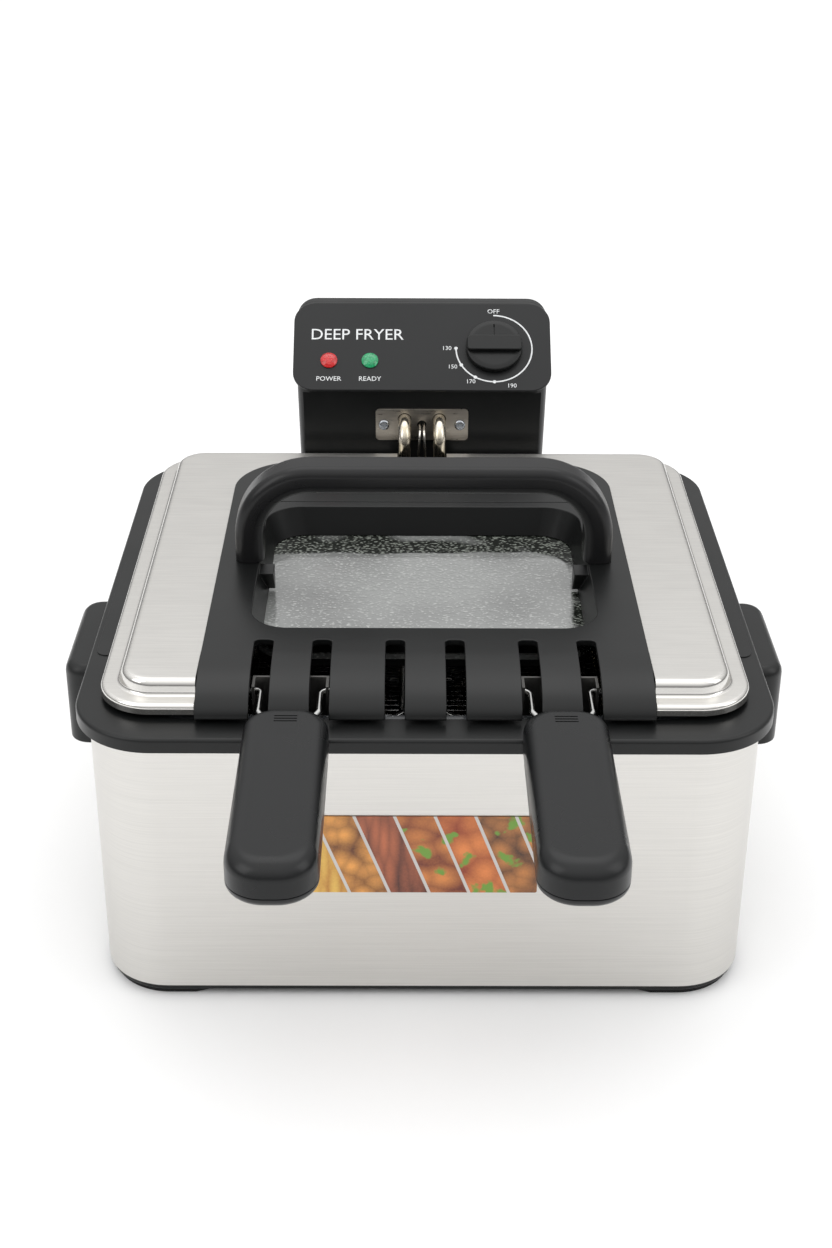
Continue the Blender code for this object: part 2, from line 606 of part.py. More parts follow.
def make_heater(unit, front, steel, dark_metal):
    """Plate on the unit's face, tubular heater, sensor lines and the clip that holds them."""
    face = UNIT_FRONT - GAP
    ring = rounded(PLATE_HALF[0], -PLATE_HALF[1], PLATE_HALF[1], 0.0028, 0)
    plate = loft("heater_plate", [[(x, y, z + PLATE_Z) for x, z, _ in ring]
                                  for y in (face, face - PLATE_THICK)], steel, unit)
    hole_y = UNIT_FRONT
    for piece in (plate, front):
        for side in (-1, 1):
            bore(piece, TUBE_RADIUS + TUBE_CLEARANCE, (side * TUBE_X, hole_y, TUBE_Z), 0.012, "Y", unit)
        bore(piece, 0.0034, (0, hole_y, PLATE_Z + 0.0005), 0.012, "Y", unit)
    screw = 0.0019
    for name, side in (("plate_screw_left", -1), ("plate_screw_right", 1)):
        place = (side * PLATE_SCREW_X, 0, PLATE_Z)
        for piece in (plate, front):
            bore(piece, screw + GAP, (place[0], hole_y, PLATE_Z), 0.012, "Y", unit)
        top = face - PLATE_THICK - GAP
        disc(name, [(0.0016, top - 0.0024), (0.0032, top - 0.0019), (0.0038, top - 0.0008),
                    (0.0038, top), (screw, top), (screw, top + 0.008)], dark_metal, unit, place,
             "Y", sides=14)

    outer, middle, inner = LOOP_X
    back, near, ahead = LOOP_Y
    half_loop = [(TUBE_X, UNIT_FRONT + 0.020, TUBE_Z), (TUBE_X, RISER_Y, TUBE_Z),
                 (TUBE_X, RISER_Y, LOOP_Z), (TUBE_X, back, LOOP_Z), (outer, back, LOOP_Z),
                 (outer, ahead, LOOP_Z), (middle, ahead, LOOP_Z), (middle, near, LOOP_Z),
                 (inner, near, LOOP_Z), (inner, ahead, LOOP_Z)]
    route = half_loop + [(-x, y, z) for x, y, z in reversed(half_loop)]
    tube("heating_element", filleted(route, 0.0115), TUBE_RADIUS, steel, unit)

    for name, side in (("thermostat_capillary", 1), ("cutout_capillary", -1)):
        start = PLATE_Z + 0.0005
        line = filleted([(side * CAPILLARY_X, UNIT_FRONT + 0.012, start),
                         (side * CAPILLARY_X, RISER_Y + 0.001, start),
                         (side * BULB_X, RISER_Y + 0.001, BULB_Z[1] + 0.02),
                         (side * BULB_X, RISER_Y + 0.001, BULB_Z[1] + 0.004)], 0.006)
        bulb = BULB_RADIUS / CAPILLARY_RADIUS
        thick = [1.0] * len(line) + [bulb, bulb]
        line += [(side * BULB_X, RISER_Y + 0.001, z) for z in reversed(BULB_Z)]
        tube(name, line, CAPILLARY_RADIUS, steel, unit, thick=thick)

    ring = rounded(0.0195, RISER_Y - 0.0065, RISER_Y + 0.0050, 0.003, 0)
    clip = loft("sensor_clip", [[(x, y, z) for x, y, _ in ring]
                                for z in (SENSOR_CLIP_Z, SENSOR_CLIP_Z + 0.0015)], steel, unit)
    for side in (-1, 1):
        bore(clip, TUBE_RADIUS + TUBE_CLEARANCE, (side * TUBE_X, RISER_Y, SENSOR_CLIP_Z), 0.02, "Z", unit)
        bore(clip, BULB_RADIUS + TUBE_CLEARANCE, (side * BULB_X, RISER_Y + 0.001, SENSOR_CLIP_Z),
             0.02, "Z", unit)


def make_unit_insides(unit, rear, black, red, button_body):
    """Safety switch inside, inlet and reset button at the back."""
    inner_face = RIM_REAR + UNIT_WALL + 3 * GAP
    half_x, deep, half_z = SWITCH_SIZE[0] / 2, SWITCH_SIZE[1], SWITCH_SIZE[2] / 2
    box("safety_switch", (-half_x, inner_face, SWITCH_Z - half_z),
        (half_x, inner_face + deep, SWITCH_Z + half_z), black, unit)

    half_x, half_z = INLET_HALF
    tool = box("inlet_hole", (INLET_X - half_x - GAP, UNIT_REAR - 0.006, BUTTON_Z - half_z - GAP),
               (INLET_X + half_x + GAP, UNIT_REAR + 0.006, BUTTON_Z + half_z + GAP), None, unit)
    carve(rear, tool)
    back, front_y = UNIT_REAR, UNIT_REAR - INLET_DEPTH - UNIT_WALL
    sections = ((half_x, half_z, front_y), (half_x, half_z, back),
                (half_x - 0.0022, half_z - 0.0022, back),
                (half_x - 0.0022, half_z - 0.0022, back - INLET_DEPTH))
    rings = [[(INLET_X + x, y, BUTTON_Z + z) for x, z, _ in rounded(a, -b, b, 0.0015, 0)]
             for a, b, y in sections]
    inlet = loft("power_inlet", rings, black, unit)
    for x in (-0.006, 0.0, 0.006):
        pin = box("pin_tool", (INLET_X + x - 0.001, back - INLET_DEPTH - 0.001, BUTTON_Z - 0.002),
                  (INLET_X + x + 0.001, back - INLET_DEPTH + 0.008, BUTTON_Z + 0.002), None, unit)
        carve(inlet, pin, "UNION")

    place = (BUTTON_X, UNIT_REAR, BUTTON_Z)
    bore(rear, BUTTON_RADIUS + 0.0004, place, 0.012, "Y", unit)
    axis = empty("button_axis", place, unit)
    edge = BUTTON_PROUD - 0.0006
    disc("reset_button", [(BUTTON_RADIUS - 0.0006, BUTTON_PROUD), (BUTTON_RADIUS, edge),
                          (BUTTON_RADIUS, -0.0040), (BUTTON_RADIUS - 0.0006, -0.0044)],
         red, axis, axis="Y", sides=16)
    switch_y = -0.0044 - BUTTON_TRAVEL - 0.0010
    disc("reset_switch", [(0.0075, switch_y), (0.0075, switch_y - 0.010)], button_body, axis,
         axis="Y", sides=16)


# ---- Lid -------------------------------------------------------------------------------
def make_lid_panel(root, steel, black):
    """Pressed steel lid, open in the middle for the cover and notched behind for the heater."""
    half = LID_WIDTH / 2
    outer = [rounded(half - i, LID_FRONT + i, LID_REAR - i, LID_CORNER - i * 0.6, LID_BOTTOM + h)
             for i, h in LID_EDGE]
    inner = [rounded(half - i - LID_SHEET, LID_FRONT + i + LID_SHEET, LID_REAR - i - LID_SHEET,
                     LID_CORNER - i * 0.6 - LID_SHEET, max(LID_BOTTOM + h - LID_SHEET, LID_BOTTOM))
             for i, h in LID_EDGE]
    panel = loft("lid_panel", list(reversed(outer)) + inner, steel, root)
    side = COVER_WIDTH / 2 - COVER_LAP
    hole = rounded(side, -FAR, COVER_REAR - COVER_LAP, 0.002, 0, COVER_REAR_CORNER - COVER_LAP)
    tool = loft("cover_hole", [[(x, y, z) for x, y, _ in hole] for z in (0.1, 0.3)], None, root)
    carve(panel, tool)
    front, rear = NOTCH_HALF
    flare = LID_REAR - NOTCH_FLARE
    outline = [(-front, NOTCH_FRONT), (front, NOTCH_FRONT), (rear, flare), (rear, FAR),
               (-rear, FAR), (-rear, flare)]
    tool = loft("notch_tool", [[(x, y, z) for x, y in outline] for z in (0.1, 0.3)], None, root)
    carve(panel, tool)
    beside = COVER_WIDTH / 2 + 2 * GAP
    carve(panel, box("roll_hole", (-beside, -FAR, 0.1), (beside, ROLL_START + GAP, FAR), None, root))
    for name, way in (("lid_rest_left", -1), ("lid_rest_right", 1)):
        xs = sorted(way * (half - inset) for inset in REST_INSET)
        box(name, (xs[0], REST_Y[0], RIM_TOP + PAD_RISE + GAP),
            (xs[1], REST_Y[1], LID_BOTTOM + LID_EDGE[3][1] - LID_SHEET - 2 * GAP), black, root)


def roll_profile(inset):
    """Side outline of the cover's top: flat, then an elliptic roll down the front."""
    points = [(COVER_REAR, COVER_TOP - inset)]
    reach, drop = ROLL_START - ROLL_FRONT - inset, ROLL_DROP - inset
    for step in range(ROLL_STEPS + 1):
        turn = radians(90 * step / ROLL_STEPS)
        points.append((ROLL_START - reach * sin(turn), COVER_TOP - ROLL_DROP + drop * cos(turn)))
    return points


def make_lid_cover(root, black, glass):
    """Black cover: window well, slots for the basket wires, filter and rear clip."""
    half = COVER_WIDTH / 2
    outline = roll_profile(0.0) + list(reversed(roll_profile(COVER_THICK)))
    cover = loft("lid_cover", [[(x, y, z) for y, z in outline] for x in (half, -half)], black, root)
    plan = rounded(half + GAP, -FAR, COVER_REAR, 0.01, 0, COVER_REAR_CORNER)
    tool = loft("plan_tool", [[(x, y, z) for x, y, _ in plan] for z in (0.15, 0.25)], None, root)
    carve(cover, tool, "INTERSECT")
    end = roll_profile(COVER_THICK / 2)[1:]
    end.append((ROLL_START, COVER_TOP - ROLL_DROP))
    for side in (-1, 1):
        xs = (side * half, side * (half - COVER_THICK))
        carve(cover, loft("roll_end", [[(x, y, z) for y, z in end] for x in xs], None, root), "UNION")

    well = well_rings(WELL_WALL, COVER_TOP - 0.0006, GLASS_TOP + GAP)
    carve(cover, loft("well_tool", well, None, root), "UNION")
    carve(cover, loft("well_hole", well_rings(0.0, COVER_TOP + 0.001, GLASS_TOP - 0.01), None, root))
    for x in SLOT_XS:
        slot = rounded(SLOT_WIDTH / 2, -FAR, SLOT_REAR, 0.001, 0, 0.0030, x=x)
        tool = loft("slot_tool", [[(a, b, z) for a, b, _ in slot] for z in (0.15, 0.25)], None, root)
        carve(cover, tool)

    glass_ring = well_outline(GLASS_LAP)
    loft("lid_window", [[(x, y, z) for x, y, _ in glass_ring]
                        for z in (GLASS_TOP - GLASS_THICK, GLASS_TOP)], glass, root)
    low = GLASS_TOP - GLASS_THICK - GAP
    rings = []
    for grow, z in ((GLASS_LAP, low - RETAINER_HEIGHT), (GLASS_LAP, low), (-0.0015, low),
                    (-0.0015, low - RETAINER_HEIGHT)):
        rings.append([(x, y, z) for x, y, _ in well_outline(grow)])
    loft("window_retainer", rings, black, root, hollow=True)

    pocket = rounded(FILTER_HALF + GAP, FILTER_Y[0] - GAP, FILTER_Y[1] + GAP, 0.004, 0, FILTER_CORNER)
    tool = loft("pocket_tool", [[(x, y, z) for x, y, _ in pocket]
                                for z in (COVER_TOP - FILTER_THICK - GAP, COVER_TOP + 0.01)], None, root)
    carve(cover, tool)
    ring = rounded(FILTER_HALF, *FILTER_Y, 0.004, 0, FILTER_CORNER)
    loft("filter_cover", [[(x, y, z) for x, y, _ in ring]
                          for z in (COVER_TOP - FILTER_THICK, COVER_TOP)], black, root)
    tool = box("clip_tool", (-CLIP_HALF - GAP, CLIP_Y[0] - GAP, COVER_TOP - 0.010),
               (CLIP_HALF + GAP, FAR, COVER_TOP + 0.01), None, root)
    carve(cover, tool)
    box("rear_clip", (-CLIP_HALF, CLIP_Y[0], COVER_TOP - COVER_THICK),
        (CLIP_HALF, CLIP_Y[1], COVER_TOP), black, root, bevel=0.0005)
    return cover


def well_outline(grow):
    """Bottom outline of the window well, grown outwards."""
    draft = WELL_DRAFT
    return rounded(WELL_HALF_WIDTH - draft + grow, WELL_FRONT + draft - grow,
                   WELL_REAR - draft + grow, WELL_CORNER - draft + grow, 0)


def well_rings(grow, top, bottom):
    """The tapering well between two heights."""
    rings = []
    for z in (bottom, top):
        share = (COVER_TOP - z) / WELL_DEPTH
        inset = WELL_DRAFT * share - grow
        rings.append(rounded(WELL_HALF_WIDTH - inset, WELL_FRONT + inset, WELL_REAR - inset,
                             WELL_CORNER - inset, z))
    return rings


def make_lid_handle(root, cover, black, dark_metal):
    """Upright arch over the window, held by a screw up into each foot."""
    middle = ARCH_HALF_WIDTH - ARCH_THICK / 2
    bend = ARCH_CORNER - ARCH_THICK / 2
    base = COVER_TOP + GAP
    top = COVER_TOP + ARCH_RISE - ARCH_THICK / 2
    route = [(middle, base, 0.0)]
    for centre_x, start in ((middle - bend, 0), (bend - middle, 90)):
        for step in range(2 * ARC_STEPS + 1):
            turn = radians(start + 45 * step / ARC_STEPS)
            route.append((centre_x + bend * cos(turn), top - bend + bend * sin(turn), turn))
    route.append((-middle, base, pi))
    section = [(b, a) for a, b, _ in rounded(ARCH_DEPTH / 2, -ARCH_THICK / 2, ARCH_THICK / 2, 0.0062, 0)]
    rings = [[(x + a * cos(turn), ARCH_Y - b, z + a * sin(turn)) for a, b in section]
             for x, z, turn in route]
    handle = loft("lid_handle", rings, black, root, smooth=50)
    shank = HANDLE_SCREW_RADIUS
    for name, side in (("handle_screw_left", -1), ("handle_screw_right", 1)):
        place = (side * middle, ARCH_Y, COVER_TOP)
        bore(handle, shank + GAP, place, 2 * HANDLE_SCREW_LENGTH + 0.004, "Z", root)
        bore(cover, shank + GAP, place, 0.012, "Z", root)
        under = -COVER_THICK - GAP
        disc(name, [(0.0022, under - 0.0026), (0.0040, under - 0.0018), (0.0042, under),
                    (shank, under), (shank, HANDLE_SCREW_LENGTH - 0.002)],
             dark_metal, root, place, sides=14)


# ---- Baskets ---------------------------------------------------------------------------
def make_basket(side_name, side, root, mesh_steel, steel, black, dark_metal):
    """A basket with its bracket, and the folding grip that turns on the bracket."""
    holder = empty("basket_frame_" + side_name, (side * BASKET_X, 0, 0), root)
    half, wall = BASKET_HALF_WIDTH, BASKET_WALL
    levels = ((BASKET_TAPER, BASKET_BOTTOM), (0.0, BASKET_TOP), (wall, BASKET_TOP),
              (BASKET_TAPER + wall, BASKET_BOTTOM + wall))
    rings = [rounded(half - i, BASKET_FRONT + i, BASKET_REAR - i, BASKET_CORNER - i, z)
             for i, z in levels]
    loft("basket_" + side_name, rings, mesh_steel, holder)

    plate_y = BASKET_FRONT - 2 * GAP
    cheek = PIVOT_Y - 0.0045
    outer = CHEEK_X + CHEEK_THICK
    outline = [(-outer, plate_y), (-outer, cheek), (-CHEEK_X, cheek), (-CHEEK_X, plate_y - CHEEK_THICK),
               (CHEEK_X, plate_y - CHEEK_THICK), (CHEEK_X, cheek), (outer, cheek), (outer, plate_y)]
    bracket = loft("basket_bracket_" + side_name,
                   [[(x, y, z) for x, y in outline] for z in (CHEEK_BOTTOM, CHEEK_TOP)],
                   steel, holder, smooth=0)
    for way in (-1, 1):
        bore(bracket, WIRE_RADIUS + WIRE_CLEARANCE, (way * CHEEK_X, PIVOT_Y, WIRE_Z), 0.008, "X", holder)

    axis = empty("grip_axis_" + side_name, (side * BASKET_X, PIVOT_Y, WIRE_Z), root)
    near, inside = GRIP_REAR - PIVOT_Y, GRIP_SCREW_Y - PIVOT_Y - 0.016
    half_wire = [(CHEEK_X + CHEEK_THICK + 0.0022, 0, 0), (WIRE_X, 0, 0),
                 (WIRE_X, near + WIRE_BEND, 0), (GRIP_WIRE_X, near - WIRE_BEND, 0),
                 (GRIP_WIRE_X, inside, 0)]
    route = half_wire + [(-x, y, z) for x, y, z in reversed(half_wire)]
    tube("grip_wire_" + side_name, filleted(route, 0.0052), WIRE_RADIUS, steel, axis)
    make_grip(side_name, axis, black, dark_metal)


def make_grip(side_name, axis, black, dark_metal):
    """Two moulded halves closed round the wire and held by one screw from below."""
    half = GRIP_WIDTH / 2
    seam, top, low = GRIP_SEAM - WIRE_Z, GRIP_TOP - WIRE_Z, GRIP_BOTTOM - WIRE_Z
    rear, front = GRIP_REAR - PIVOT_Y, GRIP_FRONT - PIVOT_Y
    slope = 0.0145
    wall = GRIP_WALL

    def ring(inset, front_in, rear_in, z):
        return rounded(half - inset, front + front_in, rear - rear_in, GRIP_CORNER - inset * 0.5, z,
                       GRIP_CORNER * 0.8 - inset * 0.5)

    outside = [ring(0.0, 0.0, slope, seam + GAP), ring(0.0, 0.0, 0.004, seam + 0.008),
               ring(0.0, 0.0005, 0.0, seam + 0.0115), ring(0.0010, 0.0026, 0.0008, top - 0.0038),
               ring(0.0034, 0.0070, 0.0035, top - 0.0010), ring(0.0065, 0.0115, 0.0070, top)]
    upper = loft("grip_upper_" + side_name, outside, black, axis)
    inside = [ring(wall, wall, slope + wall, seam - 0.002), ring(wall, wall, slope + wall, seam + 0.003),
              ring(wall, wall + 0.001, 0.004 + wall, seam + 0.0105),
              ring(wall + 0.004, wall + 0.007, 0.006 + wall, top - wall)]
    carve(upper, loft("grip_hollow", inside, None, axis))
    screw_y = GRIP_SCREW_Y - PIVOT_Y
    shank = GRIP_SCREW_RADIUS
    post = disc("post_tool", [(shank + 0.0022, seam + 0.0015), (shank + 0.0022, top - 0.001)],
                None, axis, (0, screw_y, 0), sides=16)
    carve(upper, post, "UNION")
    bore(upper, shank + GAP, (0, screw_y, seam), 0.022, "Z", axis)
    room = WIRE_RADIUS + WIRE_CLEARANCE
    for way in (-1, 1):
        xs = sorted((way * (GRIP_WIRE_X - room), way * (GRIP_WIRE_X + room + 0.0032)))
        gate = box("gate_tool", (xs[0], rear - slope, -room), (xs[1], rear + 0.008, room), None, axis)
        carve(upper, gate)

    shell = [ring(0.0080, 0.012, slope + 0.010, low), ring(0.0040, 0.0065, slope + 0.006, low + 0.0012),
             ring(0.0010, 0.0020, slope + 0.0022, low + 0.0042), ring(0.0, 0.0, slope + 0.0006, seam)]
    lower = loft("grip_lower_" + side_name, shell, black, axis)
    bore(lower, shank + GAP, (0, screw_y, low), 0.03, "Z", axis)
    bore(lower, 0.0042, (0, screw_y, low), 0.0056, "Z", axis)
    disc("grip_screw_" + side_name, [(0.0030, low + 0.0005), (0.0038, low + 0.0010), (0.0038, low + 0.0026),
                                     (shank, low + 0.0026), (shank, seam + 0.009)],
         dark_metal, axis, (0, screw_y, 0), sides=14)


def main():
    clear_scene()
    steel = surface("brushed stainless steel", (0.62, 0.61, 0.59), 0.32, 1.0)
    mesh_steel = surface("plated wire mesh", (0.55, 0.55, 0.54), 0.35, 1.0)
    dark_metal = surface("zinc plated steel", (0.5, 0.5, 0.48), 0.4, 1.0)
    enamel = surface("grey enamelled steel", (0.08, 0.08, 0.085), 0.4)
    black = surface("satin black moulding", (0.022, 0.022, 0.023), 0.45)
    fascia_black = surface("printed black fascia", (0.02, 0.021, 0.022), 0.5)
    knob_body = surface("black knob moulding", (0.02, 0.02, 0.021), 0.45)
    red = surface("red acrylic", (0.55, 0.02, 0.02), 0.15, transmission=0.3)
    green = surface("green acrylic", (0.0, 0.35, 0.16), 0.15, transmission=0.3)
    button_red = surface("red button moulding", (0.5, 0.03, 0.03), 0.4)
    glass = surface("toughened glass", (0.8, 0.84, 0.83), 0.08, transmission=1.0)
    label_white = surface("printed label", (0.7, 0.5, 0.3), 0.35)

    root = empty("deep_fryer", (0, -MODEL_MIDDLE_Y, 0))
    make_housing(root, steel, black, label_white, dark_metal)
    make_rim(root, black)
    make_side_handles(root, black)
    make_pot(root, enamel)
    front, rear = make_unit_covers(root, black)
    make_panel(root, front, fascia_black, red, green, dark_metal, knob_body)
    make_heater(root, front, steel, dark_metal)
    make_unit_insides(root, rear, black, button_red, dark_metal)
    make_lid_panel(root, steel, black)
    cover = make_lid_cover(root, black, glass)
    make_lid_handle(root, cover, black, dark_metal)
    for side_name, side in (("left", -1), ("right", 1)):
        make_basket(side_name, side, root, mesh_steel, steel, black, dark_metal)


main()
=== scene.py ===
"""Looks of a twin-basket deep fryer, modelled round its fixed frame of bodies and joints.

Run as a script, or read as an add-on: the property groups hold the sizes and colours that a user
would change, each operator models one piece or one group of like pieces, and the panel lists them.
"""
import json
from math import atan2, cos, pi, radians, sin, tan

import bmesh
import bpy
from bpy.props import FloatProperty, FloatVectorProperty, PointerProperty
from bpy.types import Operator, Panel, PropertyGroup
from mathutils import Euler, Matrix, Vector


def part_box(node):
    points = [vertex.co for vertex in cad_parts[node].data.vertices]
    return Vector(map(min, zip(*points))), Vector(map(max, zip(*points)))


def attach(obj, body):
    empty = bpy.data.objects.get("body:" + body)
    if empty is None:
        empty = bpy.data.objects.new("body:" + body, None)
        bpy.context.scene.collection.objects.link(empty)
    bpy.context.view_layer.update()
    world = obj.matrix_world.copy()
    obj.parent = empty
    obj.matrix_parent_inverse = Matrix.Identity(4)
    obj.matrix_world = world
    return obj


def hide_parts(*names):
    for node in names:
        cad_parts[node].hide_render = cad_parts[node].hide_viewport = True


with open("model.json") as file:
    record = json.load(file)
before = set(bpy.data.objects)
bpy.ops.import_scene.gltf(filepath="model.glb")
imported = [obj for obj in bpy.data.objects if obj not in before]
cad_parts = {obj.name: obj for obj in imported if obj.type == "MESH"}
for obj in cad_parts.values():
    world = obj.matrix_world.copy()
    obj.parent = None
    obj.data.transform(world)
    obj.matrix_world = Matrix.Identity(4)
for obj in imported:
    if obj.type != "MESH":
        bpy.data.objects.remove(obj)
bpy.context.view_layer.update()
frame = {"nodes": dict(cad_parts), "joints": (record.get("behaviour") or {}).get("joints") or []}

bl_info = {
    "name": "Deep Fryer Looks",
    "version": (1, 0, 0),
    "blender": (4, 5, 0),
    "location": "3D View > Sidebar > Fryer",
    "description": "Models the visible pieces and finishes of a twin-basket deep fryer",
    "category": "Object",
}

MM = 0.001
GAP = 0.3 * MM                   # daylight between pieces that meet
BIG_ARC, SMALL_ARC = 20, 8       # steps in a quarter turn, on broad and on small corners
PANEL_THICK = 2.0 * MM           # the sloping panel's sheet
WIRE_SPREAD = 16.1 * MM          # from a grip's middle to each of its wire's legs
GRIP_SLOPE = 14.5 * MM           # how far a grip's rear end leans back from its foot
FAR = 0.5                        # beyond every piece, for cutting tools
NEAR = 0.01 * MM                 # how close a point is to the place that it is picked by
PAST = 20 * MM                   # how far a block or a cutting tool runs past its cut
FORWARDS, BACKWARDS = pi / 2, -pi / 2      # turns about X that face a piece's top to -Y or +Y


# ---- Sizes and colours that a user would change -------------------------------------------
def length(name, description, millimetres):
    return FloatProperty(name=name, description=description, default=millimetres * MM,
                         unit="LENGTH", precision=5)


def linear(code):
    """Linear light of an opaque sRGB hex colour."""
    shares = [int(code[place:place + 2], 16) / 255 for place in (1, 3, 5)]
    return (*[s / 12.92 if s <= 0.04045 else ((s + 0.055) / 1.055) ** 2.4 for s in shares], 1.0)


def colour(name, description, code):
    return FloatVectorProperty(name=name, description=description, default=linear(code), size=4,
                               min=0.0, max=1.0, subtype="COLOR")


class FryerSizes(PropertyGroup):
    wrap_corner: length("Wrap corner", "Radius of the steel wrap's upright corners", 38.3)
    sheet: length("Sheet", "Thickness of the wrap and lid steel", 0.9)
    rim_corner: length("Rim corner", "Radius of the rim frame's corners", 45.0)
    rim_edge: length("Rim edge", "Rounding along the rim frame's top edge", 2.2)
    lid_corner: length("Lid corner", "Radius of the pressed lid's corners", 30.0)
    cover_corner: length("Cover corner", "Radius of the black cover's rear corners", 44.0)
    cover_wall: length("Cover wall", "Thickness of the black cover", 2.8)
    moulded_edge: length("Moulded edge", "Rounding on edges of moulded pieces", 0.55)
    slot_width: length("Slot width", "Width of each wire slot in the cover", 10.6)
    well_corner: length("Well corner", "Corner radius at the top of the window well", 22.0)
    handle_corner: length("Handle corner", "Rounding of the lid handle's section", 6.2)
    panel_corner: length("Panel corner", "Radius of the sloping fascia's corners", 14.5)
    print_line: length("Print line", "Width of the printed dial line", 1.0)
    basket_pitch: length("Basket pitch", "Spacing of the basket's wires", 6.4)
    basket_wire: length("Basket wire", "Thickness of the basket's wires", 1.1)
    grip_corner: length("Grip corner", "Radius of the grip's front corners seen from above", 19.0)


class FryerColours(PropertyGroup):
    wrap: colour("Wrap steel", "Brushed stainless steel of the housing", "#d5d3cf")
    lid: colour("Lid steel", "Pressed stainless steel of the lid", "#d9d7d3")
    moulding: colour("Black moulding", "Satin black moulded plastic", "#121313")
    handle: colour("Lid handle", "Heat-resisting black moulding of the lid handle", "#151516")
    grip: colour("Grip moulding", "Charcoal moulding of the basket grips", "#131415")
    fascia: colour("Fascia", "Printed sheet on the control panel", "#151617")
    print_ink: colour("Printing", "White ink on the control panel", "#e9ebec")
    power_lens: colour("Power lens", "Red acrylic lens", "#c40f12")
    ready_lens: colour("Ready lens", "Green acrylic lens", "#0c9a63")
    heater: colour("Heater tube", "Drawn nickel alloy sheath", "#dcd8d2")
    plate: colour("Heater plate", "Warm grey of the pressed heater plate", "#c2bbb1")
    zinc: colour("Zinc", "Bright zinc plating on the screws", "#c4c9cf")
    enamel: colour("Pot enamel", "Dark grey vitreous enamel", "#3a3c3f")
    glass_mist: colour("Mist", "Condensed steam on the window", "#8f918f")
    # Painted shade: the dark inside, painted onto the window where the mist thins out.
    glass_dark: colour("Glass shadow", "Dark inside seen between the drops", "#1c1f1b")
    rubber: colour("Foot", "Black rubber-filled foot moulding", "#161616")
    button: colour("Reset button", "Red button moulding", "#b01c1a")
    floor: colour("Floor", "Plain pale floor", "#f6f6f6")


# ---- Editing helpers ------------------------------------------------------------------------
def deselect():
    """Leave edit mode with nothing selected, so the next operator acts on its own piece only."""
    if bpy.context.mode != "OBJECT":
        bpy.ops.object.mode_set(mode="OBJECT")
    bpy.ops.object.select_all(action="DESELECT")


def activate(piece):
    deselect()
    bpy.context.view_layer.objects.active = piece
    piece.select_set(True)


def edit(piece, mode="FACE"):
    """Open a piece for editing with nothing in it selected."""
    activate(piece)
    bpy.ops.object.mode_set(mode="EDIT")
    bpy.ops.mesh.select_mode(type=mode)
    bpy.ops.mesh.select_all(action="DESELECT")


def pick(piece, kind, test):
    """Select the open piece's verts, edges or faces that pass a test, and nothing else."""
    bpy.ops.mesh.select_mode(type={"verts": "VERT", "edges": "EDGE", "faces": "FACE"}[kind])
    bpy.ops.mesh.select_all(action="DESELECT")
    shape = bmesh.from_edit_mesh(piece.data)
    for element in getattr(shape, kind):
        if test(element):
            element.select_set(True)
    bmesh.update_edit_mesh(piece.data)


def middle(edge):
    return (edge.verts[0].co + edge.verts[1].co) / 2


def direction(edge):
    return (edge.verts[1].co - edge.verts[0].co).normalized()


def name_it(name, scale=(1, 1, 1)):
    """Name the primitive just added, stretch it and put its place in its mesh."""
    piece = bpy.context.object
    piece.name = piece.data.name = name
    piece.scale = scale
    bpy.ops.object.transform_apply(location=True, rotation=True, scale=True)
    return piece


def outline(name, low, high, z, corner, rear_corner=None, steps=BIG_ARC):
    """A level face with rounded corners, left open with the face selected."""
    deselect()
    centre = ((low[0] + high[0]) / 2, (low[1] + high[1]) / 2, z)
    bpy.ops.mesh.primitive_plane_add(size=1, location=centre)
    piece = name_it(name, (high[0] - low[0], high[1] - low[1], 1))
    edit(piece, "VERT")
    for radius, rear in ((corner, False), (corner if rear_corner is None else rear_corner, True)):
        if radius:
            pick(piece, "verts", lambda v: (v.co.y > centre[1]) == rear)
            bpy.ops.mesh.bevel(affect="VERTICES", offset=radius, segments=steps)
    bpy.ops.mesh.select_mode(type="FACE")
    bpy.ops.mesh.select_all(action="SELECT")
    return piece


def block(name, low, high, corner=0.0, rear_corner=None, steps=SMALL_ARC):
    """A solid block with rounded upright edges, left open with its top face selected."""
    deselect()
    centre = [(a + b) / 2 for a, b in zip(low, high)]
    bpy.ops.mesh.primitive_cube_add(size=1, location=centre)
    piece = name_it(name, [b - a for a, b in zip(low, high)])
    edit(piece, "EDGE")
    for radius, rear in ((corner, False), (corner if rear_corner is None else rear_corner, True)):
        if radius:
            pick(piece, "edges",
                 lambda e: abs(direction(e).z) > 0.99 and (middle(e).y > centre[1]) == rear)
            bpy.ops.mesh.bevel(affect="EDGES", offset=radius, segments=steps)
    pick_facing(piece, 2, 1)
    return piece


def pick_facing(piece, axis, way):
    """Select the flat faces that look along an axis, forwards or backwards."""
    pick(piece, "faces", lambda f: f.normal[axis] * way > 0.999)


def tub(name, low, high, top, depth, draft, corner, grow=0.0):
    """A solid that narrows downwards, like the inside of a tray."""
    piece = block(name, (low[0] - grow, low[1] - grow, top - depth),
                  (high[0] + grow, high[1] + grow, top), corner + grow, steps=14)
    half = ((high[0] - low[0]) / 2 + grow, (high[1] - low[1]) / 2 + grow)
    centre = ((low[0] + high[0]) / 2, (low[1] + high[1]) / 2)
    pick_facing(piece, 2, -1)
    bpy.ops.transform.resize(value=(1 - draft / half[0], 1 - draft / half[1], 1),
                             center_override=(*centre, top - depth))
    return piece


def turned(name, radius, low, high, sides=32):
    """A round block between two heights, left open with its top face selected."""
    deselect()
    place = (low[0], low[1], (low[2] + high) / 2)
    bpy.ops.mesh.primitive_cylinder_add(vertices=sides, radius=radius, depth=high - low[2],
                                        location=place)
    piece = name_it(name)
    edit(piece)
    pick_facing(piece, 2, 1)
    return piece


